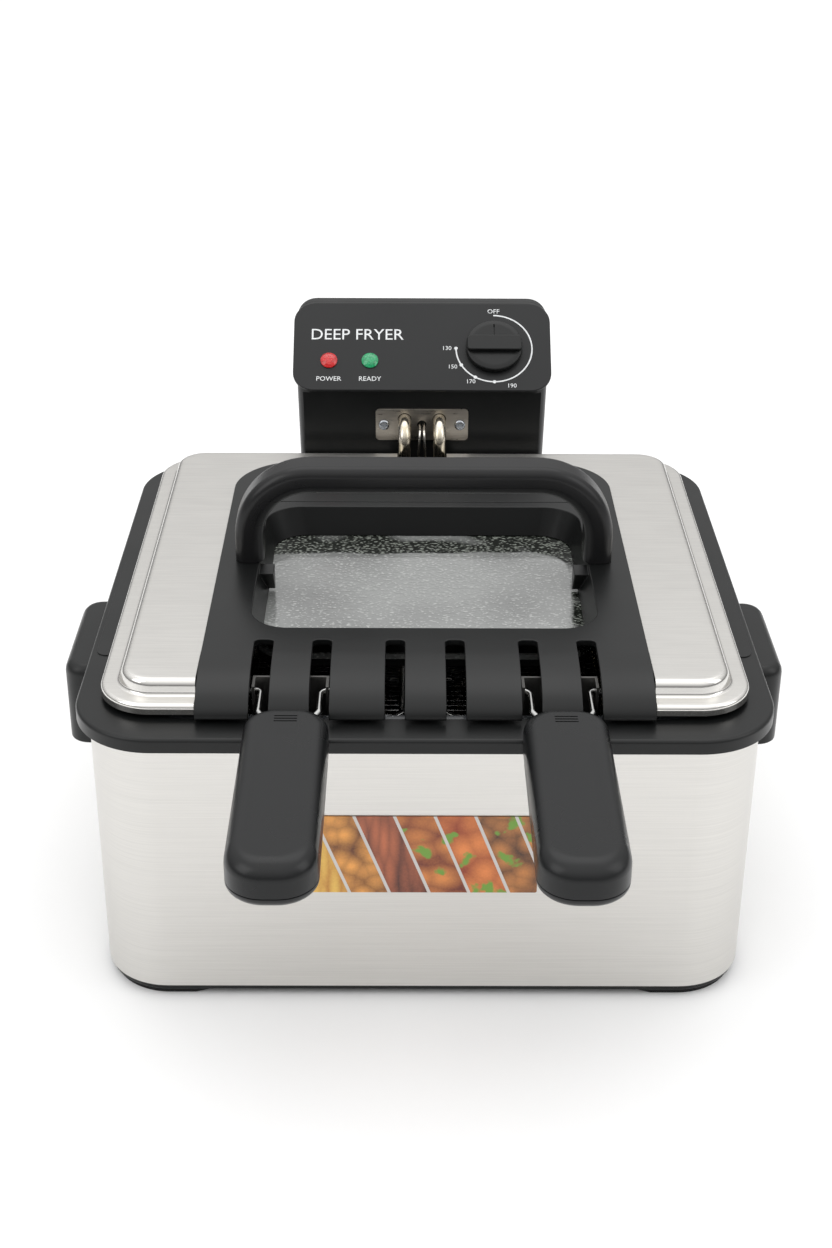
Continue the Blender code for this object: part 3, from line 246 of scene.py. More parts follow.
def through(levels):
    """Carry the selected face through (inset, rise) levels, both counted from where it is."""
    last_inset = last_rise = 0.0
    for inset, rise in levels:
        bpy.ops.mesh.inset(thickness=inset - last_inset, depth=rise - last_rise)
        last_inset, last_rise = inset, rise


def extrude(move):
    """Extrude what is selected and move it."""
    bpy.ops.mesh.extrude_region_move(TRANSFORM_OT_translate={"value": move})


def dome(low, high, insets, rise, steps=8):
    """Round the selected face over to a smaller one: insets from its sides, its front and its rear."""
    side, front, rear = insets
    size = (high.x - low.x, high.y - low.y)
    still = ((low.x + high.x) / 2, low.y + size[1] * front / (front + rear), 0)
    last_in = last_up = 0.0
    for step in range(1, steps + 1):
        share_in, share_up = 1 - cos(pi / 2 * step / steps), sin(pi / 2 * step / steps)
        extrude((0, 0, rise * (share_up - last_up)))
        across = (size[0] - 2 * side * share_in) / (size[0] - 2 * side * last_in)
        along = (size[1] - (front + rear) * share_in) / (size[1] - (front + rear) * last_in)
        bpy.ops.transform.resize(value=(across, along, 1), center_override=still)
        last_in, last_up = share_in, share_up


def rounding(radius, steps=5, rise=None):
    """Levels of a rounded-over edge: a quarter turn from the wall to the top."""
    rise = radius if rise is None else rise
    return [(radius * (1 - cos(pi / 2 * step / steps)), rise * sin(pi / 2 * step / steps))
            for step in range(1, steps + 1)]


def rolled(corners, steps=6):
    """Levels along a profile of (inset, rise, softening) corners, each turned in a smooth bend."""
    points = [Vector(corner[:2]) for corner in corners]
    levels = []
    for before, point, after, corner in zip(points, points[1:], points[2:], corners[1:]):
        start = point + (before - point).normalized() * corner[2]
        end = point + (after - point).normalized() * corner[2]
        for step in range(steps + 1):
            share = step / steps
            bend = start * (1 - share) ** 2 + point * 2 * share * (1 - share) + end * share ** 2
            levels.append(tuple(bend))
    return levels + [tuple(points[-1])]


def modify(piece, kind, **settings):
    """Give a piece a modifier and apply it."""
    activate(piece)
    modifier = piece.modifiers.new(kind.title(), kind)
    for setting, value in settings.items():
        setattr(modifier, setting, value)
    bpy.ops.object.modifier_apply(modifier=modifier.name)


def cut(piece, tool, operation="DIFFERENCE"):
    """Cut with, keep inside, or join a tool solid, which is used up."""
    deselect()
    modify(piece, "BOOLEAN", operation=operation, solver="EXACT", object=tool)
    bpy.data.objects.remove(tool)


def soften(piece, width, segments=3, angle=40):
    """Round every edge sharper than an angle."""
    modify(piece, "BEVEL", width=width, segments=segments, limit_method="ANGLE",
           angle_limit=radians(angle), use_clamp_overlap=True, harden_normals=False)


def settle(piece, matrix):
    """Turn and move a finished piece, inside its mesh."""
    activate(piece)
    piece.matrix_world = matrix
    bpy.ops.object.transform_apply(location=True, rotation=True, scale=True)


def stood(place, turn):
    """A place with its Z axis laid level by a turn about X."""
    return Matrix.Translation(place) @ Matrix.Rotation(turn, 4, "X")


def slice_off(piece, point, normal):
    """Cut away what lies on the normal's side of a plane."""
    turn = Vector(normal).to_track_quat("Z", "Y").to_matrix().to_4x4()
    beyond = block("beyond", (-FAR, -FAR, 0), (FAR, FAR, FAR))
    settle(beyond, Matrix.Translation(point) @ turn)
    cut(piece, beyond)


def outward(piece):
    """Merge doubled points and turn every face outwards."""
    edit(piece)
    bpy.ops.mesh.select_all(action="SELECT")
    bpy.ops.mesh.remove_doubles(threshold=0.002 * MM)
    bpy.ops.mesh.normals_make_consistent(inside=False)


def copy_of(piece, name, mirror_x=False, mirror_y_at=None, shift=(0, 0, 0)):
    """A copy with its own mesh, mirrored or shifted inside the mesh."""
    activate(piece)
    bpy.ops.object.duplicate(linked=False)
    twin = bpy.context.object
    twin.name = twin.data.name = name
    edit(twin)
    bpy.ops.mesh.select_all(action="SELECT")
    bpy.ops.transform.translate(value=shift)
    turn = (-1 if mirror_x else 1, -1 if mirror_y_at is not None else 1, 1)
    if turn != (1, 1, 1):
        bpy.ops.transform.resize(value=turn, center_override=(0, mirror_y_at or 0, 0))
        if turn[0] * turn[1] < 0:
            bpy.ops.mesh.flip_normals()
    return twin


def bar(name, radius, route, bend, sides=16, steps=6):
    """A round bar along corner points: straight runs are extruded and each corner is spun."""
    points = [Vector(point) for point in route]
    heading = (points[1] - points[0]).normalized()
    deselect()
    bpy.ops.mesh.primitive_circle_add(vertices=sides, radius=radius, fill_type="NGON",
                                      location=points[0],
                                      rotation=heading.to_track_quat("Z", "Y").to_euler())
    piece = name_it(name)
    edit(piece)
    bpy.ops.mesh.select_all(action="SELECT")
    here = points[0]
    for corner, after in zip(points[1:], points[2:]):
        ahead = (after - corner).normalized()
        turn = heading.angle(ahead)
        room = 0.48 * min((corner - here).length * 2, (after - corner).length)
        radius_here = min(bend, room / tan(turn / 2))
        reach = radius_here * tan(turn / 2)
        start = corner - heading * reach
        extrude(start - here)
        inward = (ahead - heading * ahead.dot(heading)).normalized()
        bpy.ops.mesh.spin(steps=steps, angle=-turn, center=start + inward * radius_here,
                          axis=heading.cross(ahead).normalized())
        heading, here = ahead, corner + ahead * reach
    extrude(points[-1] - here)
    bpy.ops.mesh.select_all(action="SELECT")
    bpy.ops.mesh.fill_holes(sides=0)
    outward(piece)
    return piece


def finish(piece, maker, body, slot, *nodes, smooth=32):
    """Shade, paint and hand a piece over to its body, in place of its plain solids."""
    activate(piece)
    if smooth:
        bpy.ops.object.shade_smooth_by_angle(angle=radians(smooth))
        modify(piece, "WEIGHTED_NORMAL", keep_sharp=True)
    piece.data.materials.clear()
    piece.data.materials.append(made(maker))
    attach(piece, body)
    if nodes:
        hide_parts(*nodes)
    return piece


def panel_place():
    """The sloping panel's own frame: its lower edge, with Z out of its face."""
    axis = Vector(joint("thermostat_turn")["axis"])
    tilt = atan2(-axis.y, axis.z)
    low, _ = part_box("panel_fascia")
    thick = PANEL_THICK * cos(tilt)
    return Matrix.Translation((0, low.y, low.z + thick)) @ Matrix.Rotation(tilt, 4, "X")


def joint(name):
    return next(entry for entry in frame["joints"] if entry["name"] == name)


# ---- Material helpers ------------------------------------------------------------------------
MADE = {}
COLOUR = {"output": 2, "data_type": "RGBA"}
# A colour Mix takes its share at input 0 and its colours at 6 and 7. A MapRange takes its value at
# 0, the range it comes from at 1 and 2, and the range it goes to, 0 to 1 unless given, at 3 and 4.


def made(maker):
    """The material that a maker builds, built once and shared."""
    if maker not in MADE:
        MADE[maker] = maker()
    return MADE[maker]


def new_material(name, base, **values):
    """A material whose shader starts from the named values, and its node tree."""
    material = bpy.data.materials.new(name)
    material.use_nodes = True
    shader = material.node_tree.nodes["Principled BSDF"]
    shader.inputs["Base Color"].default_value = base
    for socket, value in values.items():
        shader.inputs[socket.replace("_", " ")].default_value = value
    return material, material.node_tree, shader


def connect(tree, node, inputs):
    """Set or link a node's inputs: each is a value or another node's output."""
    for socket, value in inputs.items():
        if isinstance(value, bpy.types.NodeSocket):
            tree.links.new(value, node.inputs[socket])
        else:
            node.inputs[socket].default_value = value


def add_node(tree, kind, inputs=None, output=0, **settings):
    """Add a node with its settings and links, and give one of its outputs."""
    node = tree.nodes.new("ShaderNode" + kind)
    for setting, value in settings.items():
        setattr(node, setting, value)
    connect(tree, node, inputs or {})
    return node.outputs[output]


def pattern_place(tree, size, turn=(0, 0, 0)):
    """Object coordinates counted in features of a real size in millimetres."""
    sizes = size if isinstance(size, tuple) else (size,) * 3
    place = add_node(tree, "TexCoord", output="Object")
    return add_node(tree, "Mapping", {"Vector": place, "Rotation": turn,
                                      "Scale": [1 / (part * MM) for part in sizes]})


def pattern(tree, kind, size, output=0, turn=(0, 0, 0), **inputs):
    """A texture whose features have a real size in millimetres."""
    return add_node(tree, kind, {"Vector": pattern_place(tree, size, turn), "Scale": 1.0, **inputs}, output)


def shade(base, share):
    """A colour made darker or lighter by a share."""
    return (*[min(part * share, 1.0) for part in base[:3]], 1.0)


def colours():
    return bpy.context.scene.fryer_colours


# ---- Materials ---------------------------------------------------------------------------------
def brushed_metal(name, base, grain, roughness, contrast, **values):
    """Steel rubbed one way with an abrasive belt: fine streaks over a soft mirror."""
    material, tree, shader = new_material(name, base, Metallic=1.0, **values)
    fine = pattern(tree, "TexNoise", grain, Detail=3.0, Roughness=0.6)
    streaky = add_node(tree, "MapRange", {0: fine, 1: 0.3, 2: 0.7})
    streaks = add_node(tree, "Mix", {0: streaky, 6: shade(base, 1 - contrast), 7: shade(base, 1 + contrast)},
                       **COLOUR)
    cloud = pattern(tree, "TexNoise", 111.1, Detail=1.0)
    worn = add_node(tree, "Mix", {0: cloud, 6: (0.97, 0.97, 0.97, 1.0), 7: (1.0, 1.0, 1.0, 1.0)}, **COLOUR)
    tone = add_node(tree, "Mix", {0: 1.0, 6: streaks, 7: worn}, blend_type="MULTIPLY", **COLOUR)
    rough = add_node(tree, "MapRange", {0: fine, 1: 0.3, 2: 0.7, 3: roughness[0], 4: roughness[1]})
    relief = add_node(tree, "Bump", {"Height": fine, "Strength": 0.5, "Distance": 0.01 * MM})
    connect(tree, shader, {"Base Color": tone, "Roughness": rough, "Normal": relief})
    return material


def wrap_steel():
    # Stainless sheet with a horizontal belt-ground grain: strokes tens of millimetres long and
    # a few tenths of one high.
    return brushed_metal("brushed stainless steel sheet", colours().wrap, (62.5, 62.5, 2 / 3),
                         (0.30, 0.40), 0.045, Anisotropic=0.55)


def lid_steel():
    # Deep-drawn stainless sheet, grained from side to side on the flats and left bright where the
    # drawing die polished its rolled steps.
    base = colours().lid
    material, tree, shader = new_material("pressed stainless steel", base, Metallic=1.0)
    grain = pattern(tree, "TexNoise", (33.333, 2 / 3, 2 / 3), Detail=4.0, Roughness=0.6)
    streaky = add_node(tree, "MapRange", {0: grain, 1: 0.3, 2: 0.7})
    tone = add_node(tree, "Mix", {0: streaky, 6: shade(base, 0.93), 7: shade(base, 1.05)}, **COLOUR)
    facing = add_node(tree, "NewGeometry", output="Normal")
    upright = add_node(tree, "SeparateXYZ", {0: facing}, "Z")
    flat = add_node(tree, "MapRange", {0: upright, 1: 0.90, 2: 0.995})
    brushed = add_node(tree, "MapRange", {0: grain, 1: 0.3, 2: 0.7, 3: 0.20, 4: 0.28})
    polished = 0.13
    rough = add_node(tree, "Math", {0: flat, 1: brushed, 2: polished}, operation="MULTIPLY_ADD")
    relief = add_node(tree, "Bump", {"Height": grain, "Strength": 0.35, "Distance": 0.02 * MM})
    connect(tree, shader, {"Base Color": tone, "Roughness": rough, "Normal": relief})
    return material


def moulding(name, base, roughness, grain=0.45, depth=0.03):
    """Plastic moulded against a spark-eroded tool: an even grain and slow tone changes.

    The grain and its depth are in millimetres. A real one is about 0.1 mm, drawn coarser to show.
    """
    material, tree, shader = new_material(name, base, IOR=1.5, Specular_IOR_Level=0.32)
    cloud = pattern(tree, "TexNoise", 45.45, Detail=2.0)
    tone = add_node(tree, "Mix", {0: cloud, 6: shade(base, 0.86), 7: shade(base, 1.14)}, **COLOUR)
    rough = add_node(tree, "MapRange", {0: cloud, 1: 0.3, 2: 0.7, 3: roughness - 0.04, 4: roughness + 0.04})
    relief = add_node(tree, "Bump", {"Height": pattern(tree, "TexNoise", grain, Detail=2.0), "Strength": 0.5,
                                     "Distance": depth * MM})
    connect(tree, shader, {"Base Color": tone, "Roughness": rough, "Normal": relief})
    return material


def satin_black():
    # Glass-filled polypropylene: satin black with a fine tool grain.
    return moulding("satin black polypropylene", colours().moulding, 0.33)


def handle_black():
    # Heat-resisting nylon: smoother than the cover, so the light runs along it.
    return moulding("black nylon moulding", colours().handle, 0.30, 0.35, 0.02)


def grip_black():
    # Charcoal phenolic moulding: a soft broad sheen over a shallow grain.
    return moulding("charcoal phenolic moulding", colours().grip, 0.30, 0.40, 0.015)


def foot_rubber():
    # Rubber-filled moulding: dull and slightly uneven.
    return moulding("black rubber moulding", colours().rubber, 0.7, 0.6, 0.05)


def button_red():
    # Gloss ABS button.
    return moulding("red ABS moulding", colours().button, 0.25, 0.5, 0.01)


def fascia_sheet():
    # Matt hard-coated polycarbonate sheet, printed black behind its face.
    return moulding("printed polycarbonate sheet", colours().fascia, 0.42, 0.3, 0.01)


def white_ink():
    # Screen-printed ink: a matt film with faint thin patches.
    base = colours().print_ink
    material, tree, shader = new_material("white screen ink", base, Roughness=0.55)
    patches = add_node(tree, "MapRange", {0: pattern(tree, "TexNoise", 1.1111, Detail=2.0), 1: 0.35, 2: 0.7})
    connect(tree, shader, {"Base Color": add_node(tree, "Mix", {0: patches, 6: shade(base, 0.80), 7: base},
                                                  **COLOUR)})
    return material


def acrylic(name, base):
    """Clear coloured acrylic with a ribbed inside; the light and shade that its facets break up is painted
    into the colour as lighter and darker cells.
    """
    material, tree, shader = new_material(name, base, Roughness=0.08, IOR=1.49, Transmission_Weight=0.35,
                                          Coat_Weight=0.6, Emission_Strength=0.35, Emission_Color=base)
    cells = pattern(tree, "TexVoronoi", 1.5)
    # Painted facet light and shade: each cell is painted lighter or darker than the lens's own colour.
    tone = add_node(tree, "Mix", {0: cells, 6: shade(base, 1.25), 7: shade(base, 0.35)}, **COLOUR)
    relief = add_node(tree, "Bump", {"Height": cells, "Strength": 0.5, "Distance": 0.4 * MM})
    connect(tree, shader, {"Base Color": tone, "Normal": relief})
    return material


def red_acrylic():
    # Moulded red lamp lens.
    return acrylic("red acrylic lens", colours().power_lens)


def green_acrylic():
    # Moulded green lamp lens.
    return acrylic("green acrylic lens", colours().ready_lens)


def heater_sheath():
    # Drawn nickel-alloy tube, annealed: bright, straw-tinted in bands by its first heating.
    base = colours().heater
    material, tree, shader = new_material("drawn nickel alloy tube", base, Metallic=1.0)
    bands = pattern(tree, "TexNoise", (16.667, 16.667, 22.222), Detail=2.0)
    tint = add_node(tree, "MapRange", {0: bands, 1: 0.35, 2: 0.65})
    tone = add_node(tree, "Mix", {0: tint, 6: base, 7: linear("#d2c7ae")}, **COLOUR)
    scuffs = pattern(tree, "TexNoise", (1.4286, 1.4286, 25.0), Detail=3.0)
    rough = add_node(tree, "MapRange", {0: scuffs, 1: 0.3, 2: 0.7, 3: 0.16, 4: 0.30})
    connect(tree, shader, {"Base Color": tone, "Roughness": rough})
    return material


def plate_steel():
    # Stamped stainless plate with a rolled grain, dulled by oil vapour.
    return brushed_metal("stamped stainless plate", colours().plate, (11.111, 11.111, 1.1111),
                         (0.26, 0.38), 0.08)


def zinc_steel():
    # Bright zinc on steel: silver-blue with small spangled patches.
    base = colours().zinc
    material, tree, shader = new_material("zinc plated steel", base, Metallic=1.0)
    spangle = pattern(tree, "TexVoronoi", 1.4286)
    tone = add_node(tree, "Mix", {0: spangle, 6: base, 7: shade(base, 0.72)}, **COLOUR)
    rough = add_node(tree, "MapRange", {0: pattern(tree, "TexNoise", 2.0, Detail=3.0), 1: 0.3, 2: 0.7,
                                        3: 0.18, 4: 0.34})
    connect(tree, shader, {"Base Color": tone, "Roughness": rough})
    return material


def bracket_steel():
    # Mild steel strip plated thin over its mill finish: dull and darker than the wire it carries.
    return brushed_metal("dull plated strip", linear("#6f6e6c"), (3.3333, 3.3333, 16.667), (0.38, 0.5), 0.08)


def bright_wire():
    # Nickel-chrome plated wire: near mirror with fine drawing lines.
    return brushed_metal("chrome plated wire", linear("#d6d6d4"), (2.0, 16.667, 2.0), (0.10, 0.2), 0.05)


def pot_enamel():
    # Vitreous enamel: glassy dark grey with light specks a millimetre or less across.
    base = colours().enamel
    material, tree, shader = new_material("speckled vitreous enamel", base, Roughness=0.18, IOR=1.55,
                                          Coat_Weight=0.4)
    cells = pattern(tree, "TexVoronoi", 3.125)
    speck = add_node(tree, "MapRange", {0: cells, 1: 0.10, 2: 0.16, 3: 1.0, 4: 0.0})
    connect(tree, shader, {"Base Color": add_node(tree, "Mix", {0: speck, 6: base, 7: linear("#9da0a3")},
                                                  **COLOUR)})
    return material


def misted_glass():
    # Toughened glass with steam condensed on its underside: pebble-like drops about 2 mm across, each with a
    # painted glint, and painted shade of the dark inside between the drops where the mist thins out towards
    # the back and the right.
    mist, dark = colours().glass_mist, colours().glass_dark
    material, tree, shader = new_material("misted toughened glass", mist, Roughness=0.16, IOR=1.5,
                                          Coat_Weight=1.0, Coat_Roughness=0.04)
    wobble = pattern(tree, "TexNoise", 6.25, "Color", Detail=2.0)
    moved = add_node(tree, "VectorMath", {0: pattern_place(tree, (2.38095, 1.6129, 2.0)), 1: wobble},
                     operation="ADD")
    drops = add_node(tree, "TexVoronoi", {"Vector": moved, "Scale": 1.0}, feature="SMOOTH_F1")
    low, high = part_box("lid_window")
    centre, half = (low + high) / 2, (high - low) / 2
    spot = add_node(tree, "TexCoord", output="Object")
    local = add_node(tree, "VectorMath", {0: spot, 1: centre}, operation="SUBTRACT")
    share = add_node(tree, "VectorMath", {0: local, 1: (half.x, half.y, 1.0)}, operation="DIVIDE")
    parts = add_node(tree, "SeparateXYZ", {0: share}).node.outputs
    # How far past the middle each way: (axis, the middle, the mist's reach, how square its corner is).
    powers = []
    for axis, mid, reach, square in (("X", 0.0, 0.93, 7.0), ("Y", -0.07, 0.75, 5.0)):
        away = add_node(tree, "MapRange", {0: parts[axis], 1: mid, 2: mid + reach})
        powers.append(add_node(tree, "Math", {0: away, 1: square}, operation="POWER"))
    edge = add_node(tree, "Math", {0: powers[0], 1: powers[1]}, operation="ADD")
    lobes = add_node(tree, "MapRange", {0: pattern(tree, "TexNoise", 41.667, Detail=1.0), 3: -0.55, 4: 0.55})
    ragged = add_node(tree, "Math", {0: edge, 1: lobes}, operation="ADD")
    # Where the mist gives way, the glass is painted with the shade of the dark inside; this mask sets the
    # mist against that painted shade.
    clear = add_node(tree, "MapRange", {0: ragged, 1: 0.86, 2: 0.98})
    warm = add_node(tree, "MapRange", {0: pattern(tree, "TexNoise", 90.909, Detail=1.0), 1: 0.42, 2: 0.62})
    haze = add_node(tree, "Mix", {0: warm, 6: mist, 7: shade(mist, 0.62)}, **COLOUR)
    # Painted glints: the middle of each drop is painted a pale grey as a highlight, brighter in the mist and
    # dimmer over the painted shade between the drops.
    mist_glint_mask = add_node(tree, "MapRange", {0: drops, 1: 0.08, 2: 0.34})
    misty = add_node(tree, "Mix", {0: mist_glint_mask, 6: linear("#b4b6b3"), 7: haze}, **COLOUR)
    shaded_glint_mask = add_node(tree, "MapRange", {0: drops, 1: 0.14, 2: 0.42})
    # The painted shade of the dark inside, with its painted glints.
    pebble = add_node(tree, "Mix", {0: shaded_glint_mask, 6: linear("#8f948c"), 7: dark}, **COLOUR)
    relief = add_node(tree, "Bump", {"Height": drops, "Strength": 0.5, "Distance": 0.6 * MM})
    connect(tree, shader, {"Base Color": add_node(tree, "Mix", {0: clear, 6: misty, 7: pebble}, **COLOUR),
                           "Normal": relief})
    return material


def food_print():
    # Digitally printed vinyl label: six slanted pictures of fried food between pale bars.
    material, tree, shader = new_material("printed vinyl label", (0.5, 0.3, 0.1, 1.0), Roughness=0.3,
                                          Coat_Weight=0.25)
    low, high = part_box("front_label")
    parts = add_node(tree, "SeparateXYZ", {0: add_node(tree, "TexCoord", output="Object")}).node.outputs
    panels, slant, bar_width = 6, 0.38, 0.085
    pitch = (high.x - low.x) / (panels - 0.35)
    start = low.x + low.z * slant - 0.1 * pitch
    lean = add_node(tree, "Math", {0: parts["Z"], 1: slant, 2: parts["X"]}, operation="MULTIPLY_ADD")
    along = add_node(tree, "MapRange", {0: lean, 1: start, 2: start + panels * pitch, 4: panels}, clamp=False)
    number = add_node(tree, "Math", {0: along}, operation="FLOOR")
    within = add_node(tree, "Math", {0: along}, operation="FRACT")
    is_bar = add_node(tree, "Math", {0: within, 1: bar_width}, operation="LESS_THAN")
    crumbs = add_node(tree, "MapRange", {0: pattern(tree, "TexNoise", 1.1111, Detail=3.0), 3: -0.12, 4: 0.12})
    # Each picture: its lumps' width and height in millimetres, their lean, light and dark colours.
    looks = ((5.2632, 31.25, 0.25, "#f6cf66", "#b0651c"), (9.5238, 9.5238, 0.0, "#eea550", "#5f2f0e"),
             (5.8824, 27.778, 0.45, "#bf6a44", "#3d1512"), (14.286, 9.5238, 0.3, "#dd8a44", "#6b2410"),
             (12.5, 14.286, -0.3, "#e88a46", "#8a3010"), (10.0, 10.0, 0.0, "#c98243", "#3a2012"))
    picture = None
    for index, (across, up, lean_by, light, dark) in enumerate(looks):
        lumps = pattern(tree, "TexVoronoi", (across, 1000.0, up), turn=(0, lean_by, 0), Randomness=0.8)
        tone = add_node(tree, "Math", {0: lumps, 1: crumbs}, operation="ADD")
        depth = add_node(tree, "MapRange", {0: tone, 1: 0.14, 2: 0.95})
        shown = add_node(tree, "Mix", {0: depth, 6: linear(light), 7: linear(dark)}, **COLOUR)
        here = add_node(tree, "Math", {0: number, 1: index - 0.5}, operation="GREATER_THAN")
        picture = add_node(tree, "Mix", {0: here, 6: picture, 7: shown}, **COLOUR) if index else shown
    leaves = add_node(tree, "MapRange", {0: pattern(tree, "TexNoise", 13.333, Detail=3.0), 1: 0.58, 2: 0.63})
    leafy = add_node(tree, "Math", {0: number, 1: 2.5}, operation="GREATER_THAN")
    greens = add_node(tree, "Math", {0: leaves, 1: leafy}, operation="MULTIPLY")
    picture = add_node(tree, "Mix", {0: greens, 6: picture, 7: linear("#6f9c35")}, **COLOUR)
    connect(tree, shader, {"Base Color": add_node(tree, "Mix", {0: is_bar, 6: picture, 7: linear("#cfcac6")},
                                                  **COLOUR)})
    return material


def pale_floor():
    # Matt painted board.
    base = colours().floor
    material, tree, shader = new_material("pale painted board", base, Roughness=0.9, Specular_IOR_Level=0.1)
    patches = pattern(tree, "TexNoise", 166.67, Detail=2.0)
    connect(tree, shader, {"Base Color": add_node(tree, "Mix", {0: patches, 6: shade(base, 0.995), 7: base},
                                                  **COLOUR)})
    return material


# ---- Housing -----------------------------------------------------------------------------------
class FRYER_OT_housing(Operator):
    """Steel wrap with the tray and feet below it"""
    bl_idname = "fryer.housing"
    bl_label = "Housing"

    def execute(self, context):
        sizes = context.scene.fryer_sizes
        low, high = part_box("housing_shell")
        wrap = block("steel_wrap", low, high, sizes.wrap_corner, steps=BIG_ARC)
        pick(wrap, "faces", lambda f: abs(f.normal.z) > 0.9)
        bpy.ops.mesh.delete(type="ONLY_FACE")
        modify(wrap, "SOLIDIFY", thickness=sizes.sheet, offset=-1, use_even_offset=True)
        finish(wrap, wrap_steel, "base", "stainless_wrap", "housing_shell")

        tray_low, tray_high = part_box("base_tray")
        strip_top = low.z - GAP
        inset = tray_low.x - low.x
        tray = block("base_strip", tray_low, (tray_high.x, tray_high.y, strip_top),
                     sizes.wrap_corner - inset, steps=BIG_ARC)
        lip = tray_high.z - strip_top
        step, wall = 1.2 * MM, 2.2 * MM
        through([(step, 0), (step, lip), (step + wall, lip), (step + wall, tray_low.z + wall - strip_top)])
        underside = tray_low.z + NEAR
        pick(tray, "edges", lambda e: abs(direction(e).z) < 0.1 and middle(e).z < underside)
        bpy.ops.mesh.bevel(affect="EDGES", offset=0.9 * MM, segments=3)
        finish(tray, satin_black, "base", "black_moulding", "base_tray")
        self.make_feet(low, high, sizes)
        return {"FINISHED"}

    def make_feet(self, wrap_low, wrap_high, sizes):
        low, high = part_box("foot_front_left")
        spare, draft, setback = 4 * MM, 12 * MM, 3 * MM
        foot = block("foot_front_left_pad", low - Vector((spare, spare, 0)), high, spare)
        pick(foot, "faces", lambda f: f.normal.z < -0.9)
        share = 1 - draft / (high.x - low.x)
        bpy.ops.transform.resize(value=(share, share, 1), center_override=low)
        keep = block("foot_keep", low - Vector((0, 0, 1 * MM)),
                     (wrap_high.x * 2, wrap_high.y * 2, high.z + 1 * MM),
                     sizes.wrap_corner - setback, 0.0, BIG_ARC)
        cut(foot, keep, "INTERSECT")
        soften(foot, 0.6 * MM, 2)
        outward(foot)
        middle_y = (wrap_low.y + wrap_high.y) / 2
        twins = [foot]
        for name, across, back in (("front_right", True, False), ("rear_left", False, True),
                                   ("rear_right", True, True)):
            twins.append(copy_of(foot, f"foot_{name}_pad", across, middle_y if back else None))
        for twin in twins:
            finish(twin, foot_rubber, "base", "rubber_foot", twin.name.replace("_pad", ""))


class FRYER_OT_rim(Operator):
    """Black rim frame round the pot and the side handles below it"""
    bl_idname = "fryer.rim"
    bl_label = "Rim and Side Handles"

    def execute(self, context):
        sizes = context.scene.fryer_sizes
        low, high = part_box("rim_frame")
        pot_low, pot_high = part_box("oil_pot")
        pad_rise = 0.6 * MM
        top = high.z - pad_rise
        edge = sizes.rim_edge
        rim = block("rim_ring", low, (high.x, high.y, top - edge), sizes.rim_corner, steps=BIG_ARC)
        through(rounding(edge))
        # A shallow raised pad on each side, beside the lid.
        pad_half, pad_front, pad_rear, pad_edge = 9 * MM, 96 * MM, 26 * MM, 0.2 * MM
        centre_y = (low.y + high.y) / 2
        for side in (-1, 1):
            x = side * (high.x - 3.5 * MM - pad_half)
            pad = block("pad", (x - pad_half, centre_y - pad_front, top - 1 * MM),
                        (x + pad_half, centre_y + pad_rear, high.z - pad_edge), 6 * MM)
            through([(pad_edge, pad_edge)])
            cut(rim, pad, "UNION")
        corner, grow, shelf_depth = 41 * MM, 1 * MM, 2.6 * MM
        shelf = block("shelf", (pot_low.x - grow, pot_low.y - grow, top - shelf_depth),
                      (pot_high.x + grow, pot_high.y + grow, top + PAST), corner, steps=BIG_ARC)
        cut(rim, shelf)
        narrow = 5 * MM
        opening = block("opening", (pot_low.x + narrow, pot_low.y + narrow, low.z - PAST),
                        (pot_high.x - narrow, pot_high.y - narrow, top), corner - narrow, steps=BIG_ARC)
        cut(rim, opening)
        soften(rim, 0.5 * MM, 2)
        finish(rim, satin_black, "base", "black_moulding", "rim_frame")
        self.make_side_handles()
        return {"FINISHED"}

    def make_side_handles(self):
        low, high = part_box("side_handle_right")
        rounded_top, wall, corner, roof = 6.5 * MM, 3.2 * MM, 12 * MM, 9 * MM
        behind = corner + 4 * MM
        handle = block("side_grip_right", low - Vector((behind, 0, 0)),
                       (high.x, high.y, high.z - rounded_top), corner)
        through(rounding(rounded_top))
        slice_off(handle, (low.x, 0, 0), (-1, 0, 0))
        # Hollow from below, where the fingers go.
        recess = block("recess", (low.x + wall, low.y + wall, low.z - PAST),
                       (high.x - wall, high.y - wall, high.z - roof), 8 * MM)
        through(rounding(4 * MM, 3))
        cut(handle, recess)
        soften(handle, 0.7 * MM)
        outward(handle)
        twin = copy_of(handle, "side_grip_left", mirror_x=True)
        finish(handle, satin_black, "base", "black_moulding", "side_handle_right")
        finish(twin, satin_black, "base", "black_moulding", "side_handle_left")


class FRYER_OT_label(Operator):
    """Printed food label on the front"""
    bl_idname = "fryer.label"
    bl_label = "Front Label"

    def execute(self, context):
        low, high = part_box("front_label")
        label = block("food_label", low, high)
        pick(label, "edges", lambda e: abs(direction(e).y) > 0.99)
        bpy.ops.mesh.bevel(affect="EDGES", offset=1 * MM, segments=4)
        finish(label, food_print, "base", "printed_label", "front_label")
        return {"FINISHED"}


